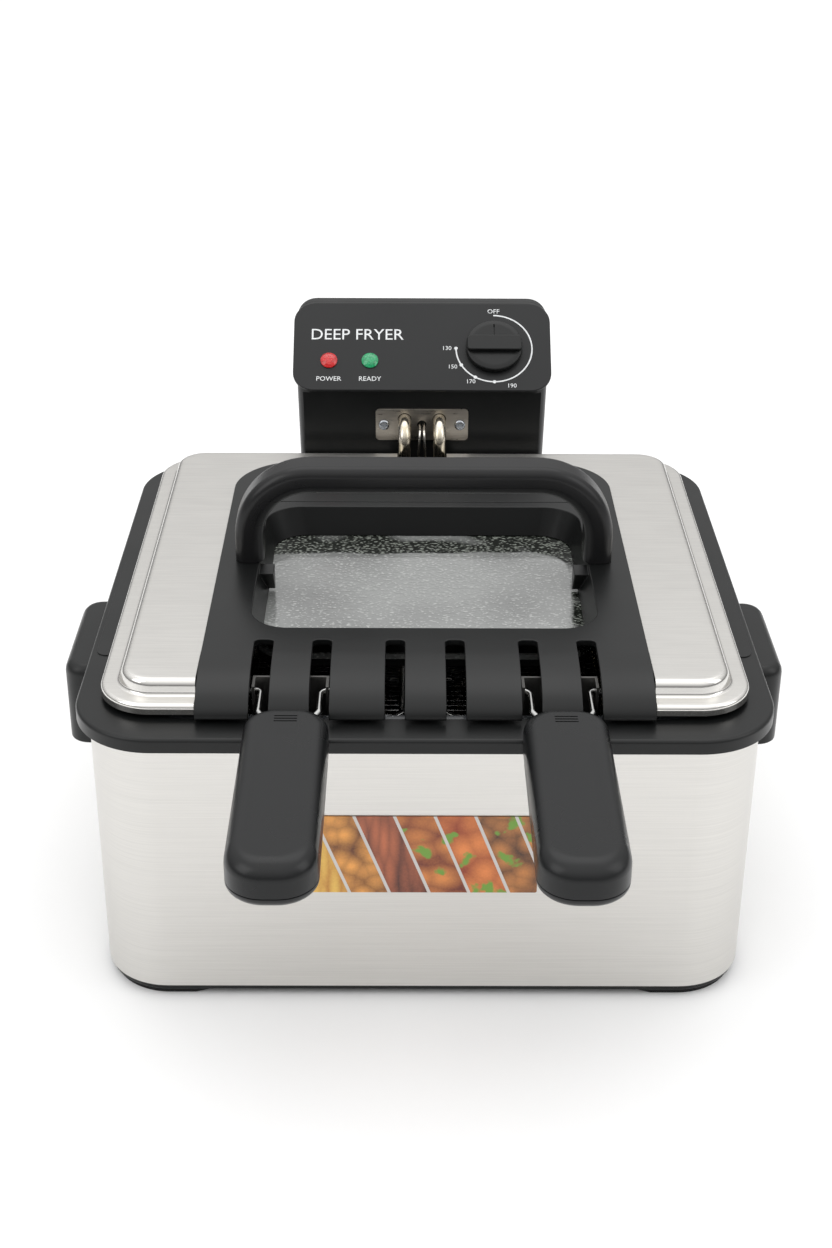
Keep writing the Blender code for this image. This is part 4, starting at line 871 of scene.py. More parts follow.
class FRYER_OT_pot(Operator):
    """Enamelled oil pot hung from its flange"""
    bl_idname = "fryer.pot"
    bl_label = "Oil Pot"

    def execute(self, context):
        low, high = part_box("oil_pot")
        flange, wall, corner, lip = 4.7 * MM, 1.2 * MM, 34 * MM, 1.5 * MM
        pot = outline("enamel_pot", low, high, high.z, corner + flange + wall)
        quarter = [pi / 2 * step / 4 for step in range(5)]
        through([(flange + wall - lip + lip * sin(turn), lip * (cos(turn) - 1)) for turn in quarter])
        rear = high.y - flange - wall
        width = high.x - flange - wall
        depth = rear - (low.y + flange + wall)
        floor_z = low.z + wall
        curl, taper = 12 * MM, 6 * MM
        wall_drop = high.z - lip - floor_z - curl
        drops = [(taper, wall_drop)]
        drops += [(taper + inset, wall_drop + drop) for inset, drop in rounding(curl, 6)]
        last_inset = last_drop = 0.0
        for inset, drop in drops:
            extrude((0, 0, last_drop - drop))
            across = (width - inset) / (width - last_inset)
            along = (depth - inset) / (depth - last_inset)
            bpy.ops.transform.resize(value=(across, along, 1), center_override=(0, rear, 0))
            last_inset, last_drop = inset, drop
        modify(pot, "SOLIDIFY", thickness=wall, offset=-1, use_even_offset=True)
        finish(pot, pot_enamel, "pot", "pot_enamel", "oil_pot")
        return {"FINISHED"}


# ---- Control unit ------------------------------------------------------------------------------
class FRYER_OT_control_unit(Operator):
    """Column at the back with its sloping head, in a front and a rear cover"""
    bl_idname = "fryer.control_unit"
    bl_label = "Control Unit"

    def execute(self, context):
        sizes = context.scene.fryer_sizes
        low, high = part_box("control_front_cover")
        rear_low, rear_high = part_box("control_rear_cover")
        place = panel_place()
        width = high.x
        corner, below = 11 * MM, -180 * MM
        shell = block("control_shell", (-width, low.y, low.z), (width, rear_high.y, rear_high.z + PAST),
                      corner, steps=12)
        foot_share = 0.955
        pick(shell, "verts", lambda v: v.co.z < low.z + 1 * MM)
        bpy.ops.transform.resize(value=(foot_share, 1, 1), center_override=(0, 0, low.z))
        panel_low, panel_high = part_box("panel_fascia")
        slope = (panel_high.y - panel_low.y) / cos(place.to_euler().x)
        # The head's outline lies in the sloping panel and runs straight back from it.
        head = outline("head_tool", (-width, below), (width, slope), -PANEL_THICK - GAP, 0.0,
                       sizes.panel_corner, 12)
        settle(head, place)
        edit(head)
        bpy.ops.mesh.select_all(action="SELECT")
        extrude((0, FAR, 0))
        outward(head)
        cut(shell, head, "INTERSECT")
        # The column stands back below the head, and hooks over the rim frame's rear edge.
        chin = place.translation.z - 2.6 * MM
        column_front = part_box("heater_plate")[1].y + GAP
        cut(shell, block("chin_tool", (-FAR, 0, 0), (FAR, column_front, chin)))
        rim_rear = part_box("rim_frame")[1]
        cut(shell, block("neck_tool", (-FAR, 0, 0), (FAR, rim_rear.y + 2 * GAP, rim_rear.z + 1.6 * MM)))
        soften(shell, 0.9 * MM, 3, 50)
        seam = rear_low.y
        rear = copy_of(shell, "control_back")
        front = shell
        front.name = "control_front"
        slice_off(front, (0, seam - 0.2 * MM, 0), (0, 1, 0))
        slice_off(rear, (0, seam + 0.1 * MM, 0), (0, -1, 0))
        inlet_low, inlet_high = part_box("power_inlet")
        cut(rear, block("socket_hole", inlet_low - Vector((GAP, 5 * MM, GAP)),
                        inlet_high + Vector((GAP, PAST, GAP))))
        button_low, button_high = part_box("reset_button")
        centre = (button_low + button_high) / 2
        button_radius = (button_high.x - button_low.x) / 2
        hole = turned("button_hole", button_radius + 0.4 * MM, (0, 0, -8 * MM), 12 * MM)
        settle(hole, stood((centre.x, rear_high.y, centre.z), BACKWARDS))
        cut(rear, hole)
        for piece, node in ((front, "control_front_cover"), (rear, "control_rear_cover")):
            soften(piece, 0.25 * MM, 1, 60)
            finish(piece, satin_black, "control_unit", "black_moulding", node)
        return {"FINISHED"}


class FRYER_OT_fascia(Operator):
    """Sloping fascia with its printing and two lamp lenses"""
    bl_idname = "fryer.fascia"
    bl_label = "Fascia"

    def execute(self, context):
        sizes = context.scene.fryer_sizes
        self.place = panel_place()
        low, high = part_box("panel_fascia")
        # Short of the head's top edge, so that its corner stays below it.
        slope = (high.y - low.y) / cos(self.place.to_euler().x) - 1.5 * MM
        edge = 0.7 * MM
        sheet = block("control_fascia", (low.x, 0, -PANEL_THICK), (high.x, slope, -edge),
                      sizes.panel_corner, steps=12)
        through(rounding(edge, 4))
        settle(sheet, self.place)
        finish(sheet, fascia_sheet, "control_unit", "fascia", "panel_fascia")
        self.make_printing(sizes.print_line)
        for node, maker, slot in (("power_lens", red_acrylic, "red_lens"),
                                  ("ready_lens", green_acrylic, "green_lens")):
            self.make_lens(node, maker, slot)
        return {"FINISHED"}

    def flat(self, node):
        """A node's middle in the panel's own frame."""
        low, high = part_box(node)
        return self.place.inverted() @ ((low + high) / 2)

    def make_printing(self, line):
        """The dial line with its four marks, the lamp names and the plain title."""
        knob, power, ready = (self.flat(node) for node in ("thermostat_knob", "power_lens", "ready_lens"))
        radius = 26.3 * MM
        parts = [self.dial_line(knob, radius, line)]
        for index in range(4):
            turn = radians(180 + 30 * index)
            spot = (knob.x + radius * cos(turn), knob.y + radius * sin(turn))
            parts.append(self.dot(spot, 1.25 * MM))
        # Each label: its text, place and height in millimetres.
        labels = [("OFF", knob.x, knob.y + radius + 3.2 * MM, 3.6)]
        for text, turn, reach in (("130", 180, 6.4), ("150", 207, 6.0), ("170", 238, 4.6), ("190", 292, 5.4)):
            out, turn = radius + reach * MM, radians(turn)
            labels.append((text, knob.x + out * cos(turn), knob.y + out * sin(turn), 3.3))
        for text, lens in (("POWER", power), ("READY", ready)):
            labels.append((text, lens.x, lens.y - 14.3 * MM, 3.7))
        labels.append(("DEEP FRYER", (power.x + ready.x) / 2 + 5 * MM, power.y + 20.5 * MM, 9.0))
        parts += [self.lettering(*label) for label in labels]
        deselect()
        for part in parts:
            part.select_set(True)
        bpy.context.view_layer.objects.active = parts[0]
        bpy.ops.object.join()
        printing = name_it("dial_printing")
        settle(printing, self.place @ Matrix.Translation((0, 0, 0.02 * MM)))
        finish(printing, white_ink, "control_unit", "fascia", smooth=0)

    def dial_line(self, knob, radius, line):
        """A three-quarter ring from the top, clockwise, to the left."""
        deselect()
        bpy.ops.mesh.primitive_plane_add(size=1, location=(0, radius, 0))
        piece = name_it("dial_line", (0.2 * MM, line, 1))
        edit(piece, "EDGE")
        pick(piece, "edges", lambda e: abs(direction(e).y) > 0.9 and middle(e).x > 0)
        bpy.ops.mesh.spin(steps=72, angle=radians(270), center=(0, 0, 0), axis=(0, 0, 1))
        outward(piece)
        settle(piece, Matrix.Translation((knob.x, knob.y, 0)))
        return piece

    def dot(self, spot, radius):
        deselect()
        bpy.ops.mesh.primitive_circle_add(vertices=20, radius=radius, fill_type="NGON",
                                          location=(*spot, 0.01 * MM))
        return name_it("dial_dot")

    def lettering(self, text, x, y, height_mm):
        """Plain sans lettering, centred on its place."""
        deselect()
        bpy.ops.object.text_add()
        words = bpy.context.object
        words.data.body = text
        words.data.size = height_mm * MM * 1.35
        words.data.align_x = "CENTER"
        words.data.align_y = "CENTER"
        words.data.resolution_u = 3
        bpy.ops.object.convert(target="MESH")
        words = bpy.context.object
        settle(words, Matrix.Translation((x, y, 0)))
        return words

    def make_lens(self, node, maker, slot):
        """A domed lens with facets pressed round its crown."""
        low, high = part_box(node)
        spot = self.flat(node)
        radius = (high.x - low.x) / 2
        lens = turned(node + "_dome", radius, (0, 0, GAP), 0.9 * MM, sides=24)
        for inset, rise in ((0.5, 0.45), (1.2, 0.75), (1.6, 0.55), (1.2, 0.12)):
            through([(inset * MM, rise * MM)])
        settle(lens, self.place @ Matrix.Translation((spot.x, spot.y, 0)))
        finish(lens, maker, "control_unit", slot, node, smooth=12)


class FRYER_OT_knob(Operator):
    """Thermostat knob with its raised finger bar"""
    bl_idname = "fryer.knob"
    bl_label = "Knob"

    def execute(self, context):
        place = panel_place()
        low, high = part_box("thermostat_knob")
        spot = place.inverted() @ ((low + high) / 2)
        radius = (high.x - low.x) / 2
        skirt, top = 3.6 * MM, 9.0 * MM
        knob = turned("dial_knob", radius, (0, 0, 0.8 * MM), skirt, sides=96)
        bend = 1.0 * MM
        through(rolled([(0, 0, 0), (0, 1.3 * MM, bend), (3 * MM, 1.9 * MM, bend), (4 * MM, 1.9 * MM, 0)]))
        edge = 0.8 * MM
        half_bar, bar_end = 5.8 * MM, radius - edge
        grip = block("finger_bar", (-bar_end, -half_bar, skirt - 1 * MM), (bar_end, half_bar, top - edge),
                     2.6 * MM)
        through(rounding(edge, 4))
        cut(knob, grip, "UNION")
        mark = block("mark", (-0.4 * MM, half_bar + 1 * MM, skirt), (0.4 * MM, radius - 3.5 * MM, top))
        cut(knob, mark)
        soften(knob, 0.3 * MM, 2, 45)
        settle(knob, place @ Matrix.Translation((spot.x, spot.y, 0)))
        finish(knob, satin_black, "knob", "knob_moulding", "thermostat_knob")
        return {"FINISHED"}


class FRYER_OT_heater(Operator):
    """Heater plate, its screws, the tube heater and the two sensing lines"""
    bl_idname = "fryer.heater"
    bl_label = "Heater"

    def execute(self, context):
        low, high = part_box("heater_plate")
        thick = high.y - low.y
        centre = (low + high) / 2
        plate = block("mounting_plate", (low.x, low.z, 0), (high.x, high.z, thick - 0.3 * MM), 2.8 * MM)
        through(rounding(0.3 * MM, 2))
        tube_low, tube_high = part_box("heating_element")
        radius, tube_x = 4.4 * MM, 12 * MM
        top = tube_high.z - radius
        for x, z, hole in ((-tube_x, top, radius + 0.35 * MM), (tube_x, top, radius + 0.35 * MM),
                           (0, centre.z, 3.2 * MM)):
            cut(plate, turned("hole", hole, (x, z, -2 * MM), 4 * MM, 24))
        # The plate is drawn flat, then stood up to face the front.
        settle(plate, stood((0, high.y, 0), FORWARDS))
        finish(plate, plate_steel, "control_unit", "heater_steel", "heater_plate")
        self.make_screws(low)
        self.make_tube(tube_low, tube_high, radius, tube_x, top)
        self.make_lines(high.y)
        return {"FINISHED"}

    def make_screws(self, plate_low):
        """Pan-head screws with a cross recess."""
        low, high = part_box("plate_screw_left")
        head = (high.x - low.x) / 2
        centre = (low + high) / 2
        screw = turned("plate_screw_left_head", head, (0, 0, GAP), 0.9 * MM, 32)
        through(rounding(1.5 * MM, 5, 1.1 * MM))
        for size in ((2.4, 0.45), (0.45, 2.4)):
            across, along = size[0] * MM, size[1] * MM
            cut(screw, block("cross", (-across, -along, 0.9 * MM), (across, along, 4 * MM)))
        soften(screw, 0.1 * MM, 1, 50)
        settle(screw, stood((centre.x, plate_low.y, centre.z), FORWARDS))
        twin = copy_of(screw, "plate_screw_right_head", mirror_x=True)
        finish(screw, zinc_steel, "control_unit", "zinc_steel", "plate_screw_left")
        finish(twin, zinc_steel, "control_unit", "zinc_steel", "plate_screw_right")

    def make_tube(self, low, high, radius, tube_x, top):
        """One tube from the plate, down the pot's back wall and round under both baskets."""
        outer, ahead, deep = high.x - radius, low.y + radius, low.z + radius
        middle_x, inner = outer * 0.6, outer * 0.2
        # From inside the column to the riser down the pot's back wall, then the loop's back and near bends.
        plate_y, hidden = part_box("heater_plate")[0].y, 15 * MM
        riser = plate_y - 16.2 * MM
        back, near = riser - 28.5 * MM, riser - 74.5 * MM
        half = [(tube_x, plate_y + hidden, top), (tube_x, riser, top), (tube_x, riser, deep),
                (tube_x, back, deep), (outer, back, deep), (outer, ahead, deep), (middle_x, ahead, deep),
                (middle_x, near, deep), (inner, near, deep), (inner, ahead, deep)]
        route = half + [(-x, y, z) for x, y, z in reversed(half)]
        tube = bar("heater_tube", radius, route, 11.5 * MM, 20, 8)
        finish(tube, heater_sheath, "control_unit", "heater_steel", "heating_element")

    def make_lines(self, plate_y):
        for node, side in (("thermostat_capillary", 1), ("cutout_capillary", -1)):
            low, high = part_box(node)
            thin, bulb = 0.9 * MM, 2.6 * MM
            far = max(abs(low.x), abs(high.x)) - bulb
            y = low.y + bulb
            neck = low.z + 67 * MM
            start, end, top = side * 1.4 * MM, side * far, high.z - thin
            route = [(start, plate_y + 10 * MM, top), (start, y, top), (end, y, neck + 14 * MM),
                     (end, y, neck)]
            line = bar(node + "_line", thin, route, 5 * MM, 10, 5)
            probe = turned(node + "_probe", bulb, (end, y, low.z + 1 * MM), neck - 2 * MM, 16)
            through(rounding(bulb - thin, 4, 2 * MM))
            pick(probe, "faces", lambda f: f.normal.z < -0.9)
            through(rounding(1 * MM, 3))
            cut(line, probe, "UNION")
            finish(line, heater_sheath, "control_unit", "heater_steel", node)


class FRYER_OT_rear_fittings(Operator):
    """Mains inlet and reset button at the back"""
    bl_idname = "fryer.rear_fittings"
    bl_label = "Inlet and Reset Button"

    def execute(self, context):
        low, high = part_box("power_inlet")
        centre, half = (low + high) / 2, (high - low) / 2
        deep = high.y - low.y
        inlet = block("mains_inlet", (-half.x, -half.z, 0), (half.x, half.z, deep), 2.8 * MM)
        lip, mouth, floor = 1.9 * MM, 2.2 * MM, 2.4 * MM
        through([(lip, 0), (mouth, lip - mouth), (mouth, floor - deep)])
        pin_half, pin_high, pin_pitch, pin_short = 1 * MM, 2 * MM, 6 * MM, 5 * MM
        for x in (-pin_pitch, 0, pin_pitch):
            cut(inlet, block("pin", (x - pin_half, -pin_high, 1 * MM),
                             (x + pin_half, pin_high, deep - pin_short)), "UNION")
        soften(inlet, 0.3 * MM, 2, 50)
        settle(inlet, stood((centre.x, low.y, centre.z), BACKWARDS))
        finish(inlet, satin_black, "control_unit", "black_moulding", "power_inlet")
        low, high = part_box("reset_button")
        centre = (low + high) / 2
        edge, dish, dish_deep = 1 * MM, 2.4 * MM, 0.4 * MM
        cap = turned("reset_cap", (high.x - low.x) / 2, (0, 0, 0), high.y - low.y - edge, 40)
        through(rounding(edge, 4))
        through([(dish, -dish_deep)])
        settle(cap, stood((centre.x, low.y, centre.z), BACKWARDS))
        finish(cap, button_red, "button", "red_button", "reset_button")
        return {"FINISHED"}


# ---- Lid -----------------------------------------------------------------------------------------
class FRYER_OT_lid_panel(Operator):
    """Pressed steel lid with two rolled steps"""
    bl_idname = "fryer.lid_panel"
    bl_label = "Lid Panel"

    def execute(self, context):
        sizes = context.scene.fryer_sizes
        low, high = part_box("lid_panel")
        rise = high.z - low.z
        lid = outline("steel_lid", low, high, low.z, sizes.lid_corner)
        # The pressing's section: a rolled edge, a ledge that climbs a little, and a second step.
        ledge, slope = 5.6 * MM, 0.2 * MM
        through(rolled([(0, 0, 0), (slope, ledge, 2.6 * MM), (10.4 * MM, ledge + slope, 1.9 * MM),
                        (12.2 * MM, rise, 3.6 * MM), (18 * MM, rise, 0)]))
        modify(lid, "SOLIDIFY", thickness=sizes.sheet, offset=-1, use_even_offset=True)
        cover_low, cover_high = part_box("lid_cover")
        lap, notch, flare = 7 * MM, 16.8 * MM, 21.6 * MM
        cut(lid, block("cover_opening", (cover_low.x + lap, -FAR, 0),
                       (cover_high.x - lap, cover_high.y - lap, FAR), 0.0, sizes.cover_corner - lap, BIG_ARC))
        cut(lid, block("roll_opening", (cover_low.x - 2 * GAP, -FAR, 0),
                       (cover_high.x + 2 * GAP, roll_start() + GAP, FAR)))
        # A notch at the rear lets the heater tubes through, and flares out at the lid's edge.
        notch_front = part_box("rear_clip")[1].y + 3.5 * MM
        cut(lid, block("notch", (-notch, notch_front, 0), (notch, FAR, FAR), 3 * MM, 0.0))
        cut(lid, block("flare", (-flare, high.y - 10 * MM, 0), (flare, FAR, FAR), 4 * MM, 0.0))
        soften(lid, 0.15 * MM, 1, 60)
        finish(lid, lid_steel, "lid", "stainless_lid", "lid_panel")
        return {"FINISHED"}


def roll_start():
    """Where the cover's flat top begins to roll down to the front."""
    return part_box("lid_cover")[0].y + 44.4 * MM


def basket_wire_xs():
    """Middles of the six wire slots, left to right."""
    low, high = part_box("basket_left")
    centre, inner = (low.x + high.x) / 2, 16.4 * MM
    return [side * x for side in (-1, 1) for x in (inner, -centre - WIRE_SPREAD, -centre + WIRE_SPREAD)]


class FRYER_OT_lid_cover(Operator):
    """Black cover on the lid: window well, wire slots, filter hatch and rear clip"""
    bl_idname = "fryer.lid_cover"
    bl_label = "Lid Cover"

    def execute(self, context):
        sizes = context.scene.fryer_sizes
        low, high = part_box("lid_cover")
        window_low, window_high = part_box("lid_window")
        cover = self.make_shell(low, high, sizes)
        self.make_well(cover, high.z, window_low, window_high, sizes)
        slot_rear = roll_start() + 13.6 * MM
        half, seam, under = sizes.slot_width / 2, 0.5 * MM, low.z - PAST
        for x in basket_wire_xs():
            cut(cover, block("slot", (x - half, -FAR, under), (x + half, slot_rear, FAR), 0.0, 3 * MM, 5))
        hatch_low, hatch_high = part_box("filter_cover")
        pocket = block("pocket", (hatch_low.x - seam, hatch_low.y - seam, hatch_low.z - GAP),
                       (hatch_high.x + seam, hatch_high.y + seam, FAR), 4 * MM, 16 * MM, 10)
        cut(cover, pocket)
        clip_low, clip_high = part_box("rear_clip")
        cut(cover, block("clip_gap", (clip_low.x - seam, clip_low.y - seam, under),
                         (clip_high.x + seam, FAR, FAR)))
        soften(cover, sizes.moulded_edge, 3, 35)
        finish(cover, satin_black, "lid", "black_moulding", "lid_cover")
        self.make_hatch(hatch_low, hatch_high)
        clip = block("cover_clip", clip_low, clip_high)
        soften(clip, 0.5 * MM)
        finish(clip, satin_black, "lid", "black_moulding", "rear_clip")
        return {"FINISHED"}

    def make_shell(self, low, high, sizes):
        """Flat top with an elliptic roll at the front, closed at the roll's ends."""
        start, drop = roll_start(), 17.7 * MM
        reach = start - low.y
        shell = outline("lid_shroud", (low.x, start), (high.x, high.y), high.z, 0.0, sizes.cover_corner)
        pick(shell, "edges", lambda e: abs(middle(e).y - start) < NEAR)
        steps = 24
        before = Vector((0, start, high.z))
        for step in range(1, steps + 1):
            turn = pi / 2 * step / steps
            after = Vector((0, start - reach * sin(turn), high.z - drop * (1 - cos(turn))))
            bpy.ops.mesh.extrude_edges_move(TRANSFORM_OT_translate={"value": after - before})
            before = after
        for side in (low.x, high.x):
            pick(shell, "verts", lambda v: abs(v.co.x - side) < NEAR and abs(v.co.y - low.y) < NEAR)
            bpy.ops.mesh.extrude_vertices_move(TRANSFORM_OT_translate={"value": (0, reach, 0)})
            pick(shell, "verts", lambda v: abs(v.co.x - side) < NEAR and v.co.y < start + NEAR)
            bpy.ops.mesh.edge_face_add()
        outward(shell)
        pick(shell, "faces", lambda f: f.normal.z > 0.999)
        facing = bmesh.from_edit_mesh(shell.data)
        if not any(f.select for f in facing.faces):
            bpy.ops.mesh.select_all(action="SELECT")
            bpy.ops.mesh.flip_normals()
        modify(shell, "SOLIDIFY", thickness=sizes.cover_wall, offset=-1, use_even_offset=True)
        return shell

    def make_well(self, cover, top, window_low, window_high, sizes):
        """Sunk window well with sloping sides, and the window on its seat."""
        draft, lap = 5.5 * MM, 3.5 * MM
        depth = top - window_high.z
        low = (window_low.x + lap - draft, window_low.y + lap - draft)
        high = (window_high.x - lap + draft, window_high.y - lap + draft)
        corner = sizes.well_corner
        wall = 2.6 * MM
        casing = tub("well_casing", low, high, top - 0.6 * MM, depth - 0.6 * MM - GAP, draft, corner, wall)
        cut(cover, casing, "UNION")
        past = 8 * MM
        hole = tub("well_hole", low, high, top + 0.01 * MM, depth + past, draft * (1 + past / depth), corner)
        cut(cover, hole)
        for side in (-1, 1):
            self.add_tab(cover, side, high[0] - draft * 0.4, top, depth)
        glass = block("window_glass", window_low, (window_high.x, window_high.y, window_high.z - 0.4 * MM),
                      corner - draft + lap, steps=14)
        through(rounding(0.4 * MM, 2))
        finish(glass, misted_glass, "lid", "window_glass", "lid_window")

    def add_tab(self, cover, side, x, top, depth):
        """A wedge on the well's side wall, just in front of the handle's foot, running out downwards."""
        handle_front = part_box("lid_handle")[0].y
        reach, short = 11 * MM, 1.5 * MM
        front, rear = handle_front - reach, handle_front + 3 * MM
        ends = sorted((side * (x - 7 * MM), side * (x + 5 * MM)))
        tab = block("well_tab", (ends[0], front, top - depth + short), (ends[1], rear, top - short))
        pick(tab, "verts", lambda v: v.co.y < front + 1 * MM and v.co.z < top - depth + 2 * MM)
        bpy.ops.transform.translate(value=(0, reach, 0))
        cut(cover, tab, "UNION")

    def make_hatch(self, low, high):
        """Filter hatch lying flush in its pocket."""
        edge = 0.35 * MM
        hatch = block("filter_hatch", low, (high.x, high.y, high.z - edge), 4 * MM, 16 * MM, 10)
        through(rounding(edge, 3))
        finish(hatch, satin_black, "lid", "black_moulding", "filter_cover")


class FRYER_OT_lid_handle(Operator):
    """Arched handle over the window"""
    bl_idname = "fryer.lid_handle"
    bl_label = "Lid Handle"

    def execute(self, context):
        sizes = context.scene.fryer_sizes
        low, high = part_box("lid_handle")
        thick, corner = 17 * MM, 45 * MM
        foot_low, foot_high = (high.x - thick, low.y), (high.x, high.y)
        handle = outline("arched_handle", foot_low, foot_high, low.z, sizes.handle_corner, steps=7)
        straight = high.z - low.z - corner
        extrude((0, 0, straight))
        knee = Vector((high.x - corner, 0, high.z - corner))
        bpy.ops.mesh.spin(steps=24, angle=pi / 2, center=knee, axis=(0, 1, 0))
        extrude((-2 * knee.x, 0, 0))
        bpy.ops.mesh.spin(steps=24, angle=pi / 2, center=(-knee.x, 0, knee.z), axis=(0, 1, 0))
        extrude((0, 0, -straight))
        bpy.ops.mesh.select_all(action="SELECT")
        bpy.ops.mesh.fill_holes(sides=0)
        outward(handle)
        finish(handle, handle_black, "lid", "black_moulding", "lid_handle")
        return {"FINISHED"}


# ---- Baskets ---------------------------------------------------------------------------------------
class FRYER_OT_baskets(Operator):
    """Two wire baskets"""
    bl_idname = "fryer.baskets"
    bl_label = "Baskets"

    def execute(self, context):
        sizes = context.scene.fryer_sizes
        low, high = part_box("basket_left")
        wire = sizes.basket_wire
        inside = Vector((wire, wire, wire))
        mesh = block("wire_basket_left", low + inside, high - inside)
        bpy.ops.mesh.delete(type="ONLY_FACE")
        pick(mesh, "faces", lambda f: f.normal.z < -0.9)
        taper = 5 * MM
        half = (high - low) / 2
        centre = (high + low) / 2
        bpy.ops.transform.resize(value=(1 - taper / half.x, 1 - taper / half.y, 1), center_override=centre)
        for axis in range(3):
            span_of = high[axis] - low[axis]
            cells = round(span_of / sizes.basket_pitch)
            for index in range(1, cells):
                normal = Vector([float(each == axis) for each in range(3)])
                bpy.ops.mesh.select_all(action="SELECT")
                bpy.ops.mesh.bisect(plane_co=normal * (low[axis] + span_of * index / cells), plane_no=normal)
        modify(mesh, "WIREFRAME", thickness=wire, use_replace=True, use_even_offset=False)
        outward(mesh)
        rim_wire = 2.4 * MM
        loop = outline("rim_loop", low, high, high.z - rim_wire, 14 * MM, steps=6)
        bpy.ops.mesh.inset(thickness=rim_wire, depth=0)
        bpy.ops.mesh.delete(type="FACE")
        modify(loop, "SOLIDIFY", thickness=rim_wire, offset=1)
        soften(loop, 0.7 * MM, 3)
        outward(loop)
        deselect()
        loop.select_set(True)
        mesh.select_set(True)
        bpy.context.view_layer.objects.active = mesh
        bpy.ops.object.join()
        twin = copy_of(mesh, "wire_basket_right", mirror_x=True)
        finish(mesh, bright_wire, "basket_left_unit", "basket_wire", "basket_left")
        finish(twin, bright_wire, "basket_right_unit", "basket_wire", "basket_right")
        return {"FINISHED"}


class FRYER_OT_grips(Operator):
    """Folding grips with the bent wires that carry them"""
    bl_idname = "fryer.grips"
    bl_label = "Grips"

    def execute(self, context):
        sizes = context.scene.fryer_sizes
        upper = self.make_upper(sizes)
        lower = self.make_lower(sizes)
        wire = self.make_wire()
        for piece, node, maker, slot in ((upper, "grip_upper", grip_black, "grip_moulding"),
                                         (lower, "grip_lower", grip_black, "grip_moulding"),
                                         (wire, "grip_wire", bright_wire, "basket_wire")):
            twin = copy_of(piece, piece.name.replace("left", "right"), mirror_x=True)
            finish(piece, maker, "grip_left", slot, node + "_left")
            finish(twin, maker, "grip_right", slot, node + "_right")
        return {"FINISHED"}

    def make_upper(self, sizes):
        low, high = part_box("grip_upper_left")
        crown = 8.5 * MM
        grip = block("handgrip_top_left", low, (high.x, high.y, high.z - crown), sizes.grip_corner,
                     sizes.grip_corner * 0.8, 12)
        dome(low, high, (6.5 * MM, 11.5 * MM, 7 * MM), crown)
        shoulder = 8 * MM
        slice_off(grip, (0, high.y - GRIP_SLOPE, low.z), (0, shoulder, 4 * MM - GRIP_SLOPE))
        centre_x = (low.x + high.x) / 2
        channel = tub("channel", (centre_x - 13 * MM, low.y + 18 * MM),
                      (centre_x + 13 * MM, high.y - 24 * MM), high.z + 0.02 * MM, 1.0 * MM, 3.5 * MM, 12 * MM)
        cut(grip, channel)
        for index in range(3):
            y, half = high.y - 11 * MM - 2.6 * MM * index, 0.45 * MM
            cut(grip, block("groove", (centre_x - 6 * MM, y - half, high.z - 0.6 * MM),
                            (centre_x + 6 * MM, y + half, high.z + 5 * MM)))
        soften(grip, 0.4 * MM, 3, 35)
        outward(grip)
        return grip

    def make_lower(self, sizes):
        low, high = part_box("grip_lower_left")
        seam_gap = 0.1 * MM
        upper_low, upper_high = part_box("grip_upper_left")
        top, straight = high.z - seam_gap, 0.5 * MM
        rear = Vector((upper_high.x, upper_high.y - GRIP_SLOPE, top))
        grip = block("handgrip_base_left", (upper_low.x, upper_low.y, top - straight), rear,
                     sizes.grip_corner, sizes.grip_corner * 0.8, 12)
        pick(grip, "faces", lambda f: f.normal.z < -0.9)
        dome(upper_low, rear, (8 * MM, 12 * MM, 10 * MM), straight + low.z - top)
        soften(grip, 0.25 * MM, 2, 35)
        outward(grip)
        return grip

    def make_wire(self):
        low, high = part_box("grip_wire_left")
        radius = (high.z - low.z) / 2
        centre, z = (low.x + high.x) / 2, (low.z + high.z) / 2
        pivot = high.y - radius
        end, inside = (high.x - low.x) / 2, low.y + radius
        near, gate = 9.0 * MM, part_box("grip_upper_left")[1].y
        half = [(end, pivot), (WIRE_SPREAD, pivot), (WIRE_SPREAD, gate + 8 * MM), (near, gate - 8 * MM),
                (near, inside)]
        route = [(centre + x, y, z) for x, y in half] + [(centre - x, y, z) for x, y in reversed(half)]
        return bar("grip_loop_left", radius, route, 5.2 * MM, 16, 6)


class FRYER_OT_carried(Operator):
    """Finishes of the plain solids that stay"""
    bl_idname = "fryer.carried"
    bl_label = "Carried Nodes"

    def execute(self, context):
        finishes = {
            "unit_dock": satin_black, "window_retainer": satin_black, "lid_rest_left": satin_black,
            "lid_rest_right": satin_black, "thermostat_body": zinc_steel, "knob_shaft": zinc_steel,
            "safety_switch": satin_black, "reset_switch": satin_black, "sensor_clip": plate_steel,
            "handle_screw_left": zinc_steel, "handle_screw_right": zinc_steel,
            "grip_screw_left": zinc_steel, "grip_screw_right": zinc_steel,
            "basket_bracket_left": bracket_steel, "basket_bracket_right": bracket_steel,
        }
        for corner in ("front_left", "front_right", "rear_left", "rear_right"):
            finishes["foot_screw_" + corner] = zinc_steel
        for node, maker in finishes.items():
            slots = frame["nodes"][node].data.materials
            slots.clear()
            slots.append(made(maker))
        return {"FINISHED"}


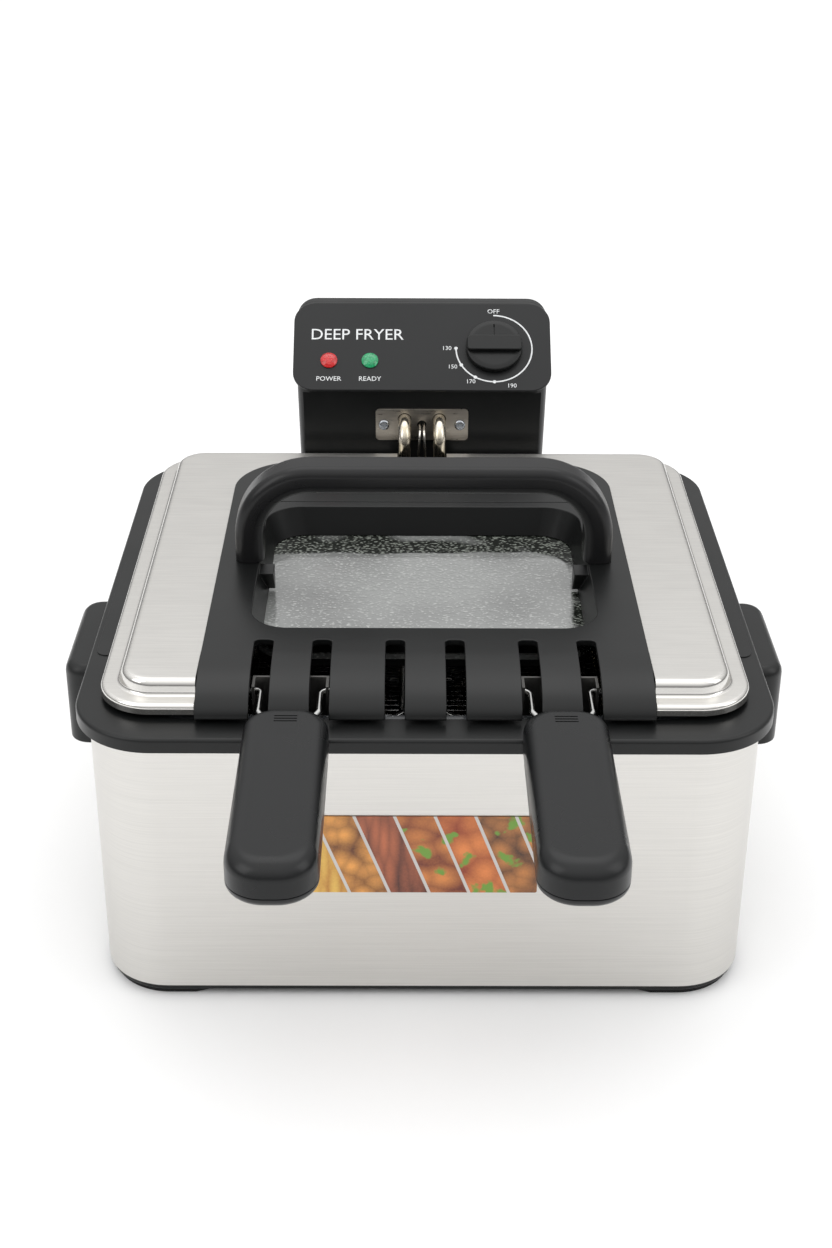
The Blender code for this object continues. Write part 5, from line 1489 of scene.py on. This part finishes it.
# ---- Stage ---------------------------------------------------------------------------------------
class FRYER_OT_stage(Operator):
    """Pale floor, soft studio light and the camera"""
    bl_idname = "fryer.stage"
    bl_label = "Stage"

    def execute(self, context):
        deselect()
        bpy.ops.mesh.primitive_plane_add(size=40, location=(0, 0, 0))
        floor = name_it("floor")
        floor.data.materials.append(made(pale_floor))
        self.add_sky(context)
        context.scene.view_settings.view_transform = "Standard"
        target = Vector((0, 0.02, 0.12))
        for name, place, size, power in (("left_softbox", (-1.3, -0.7, 1.2), (0.9, 1.2), 5.0),
                                         ("right_softbox", (1.4, -0.4, 1.1), (0.8, 1.2), 4.0),
                                         ("top_softbox", (0.0, 0.5, 1.7), (1.6, 0.9), 4.0)):
            self.add_softbox(name, Vector(place), target, size, power)
        self.add_camera(context)
        return {"FINISHED"}

    def add_sky(self, context):
        """White overhead and dark at the horizon in what the steel mirrors, and white where it shows."""
        world = context.scene.world = bpy.data.worlds.new("studio")
        world.use_nodes = True
        tree = world.node_tree
        height = add_node(tree, "SeparateXYZ", {0: add_node(tree, "TexCoord", output="Generated")}, "Z")
        light = add_node(tree, "MapRange", {0: height, 3: 0.16, 4: 1.62})
        seen = add_node(tree, "LightPath", output="Is Camera Ray")
        strength = add_node(tree, "Math", {0: light, 1: seen}, operation="MAXIMUM")
        connect(tree, tree.nodes["Background"], {"Color": (1.0, 1.0, 1.0, 1.0), "Strength": strength})

    def add_softbox(self, name, place, target, size, power):
        bpy.ops.object.light_add(type="AREA", location=place,
                                 rotation=(place - target).to_track_quat("Z", "Y").to_euler())
        lamp = bpy.context.object
        lamp.name = name
        lamp.data.shape = "RECTANGLE"
        lamp.data.size, lamp.data.size_y = size
        lamp.data.energy = power

    def add_camera(self, context):
        """Above the front edge, looking down, level to within a third of a degree."""
        place = Vector((-0.0104, -0.9765, 0.6804))
        pitch, yaw, roll = radians(27.85), radians(0.34), radians(-0.33)
        turn = Euler((pi / 2 - pitch, 0, -yaw)).to_matrix().to_4x4() @ Matrix.Rotation(-roll, 4, "Z")
        bpy.ops.object.camera_add(location=place)
        camera = bpy.context.object
        camera.name = "camera"
        camera.matrix_world = Matrix.Translation(place) @ turn
        camera.data.sensor_width = 36.0
        camera.data.lens = 53.28
        context.scene.camera = camera


OPERATORS = (FRYER_OT_stage, FRYER_OT_housing, FRYER_OT_rim, FRYER_OT_label, FRYER_OT_pot,
             FRYER_OT_control_unit, FRYER_OT_fascia, FRYER_OT_knob, FRYER_OT_heater,
             FRYER_OT_rear_fittings, FRYER_OT_lid_panel, FRYER_OT_lid_cover, FRYER_OT_lid_handle,
             FRYER_OT_baskets, FRYER_OT_grips, FRYER_OT_carried)


class FRYER_PT_pieces(Panel):
    """Buttons that model each piece"""
    bl_label = "Deep Fryer"
    bl_idname = "FRYER_PT_pieces"
    bl_space_type = "VIEW_3D"
    bl_region_type = "UI"
    bl_category = "Fryer"

    def draw(self, context):
        for operator in OPERATORS:
            self.layout.operator(operator.bl_idname)
        for group in (context.scene.fryer_sizes, context.scene.fryer_colours):
            for setting in group.bl_rna.properties:
                if setting.identifier not in {"rna_type", "name"}:
                    self.layout.prop(group, setting.identifier)


CLASSES = (FryerSizes, FryerColours, *OPERATORS, FRYER_PT_pieces)


def register():
    for entry in CLASSES:
        bpy.utils.register_class(entry)
    bpy.types.Scene.fryer_sizes = PointerProperty(type=FryerSizes)
    bpy.types.Scene.fryer_colours = PointerProperty(type=FryerColours)


def unregister():
    del bpy.types.Scene.fryer_sizes
    del bpy.types.Scene.fryer_colours
    for entry in reversed(CLASSES):
        bpy.utils.unregister_class(entry)


def main():
    register()
    for operator in OPERATORS:
        getattr(bpy.ops.fryer, operator.bl_idname.partition(".")[2])()
    deselect()


if __name__ == "__main__":
    main()
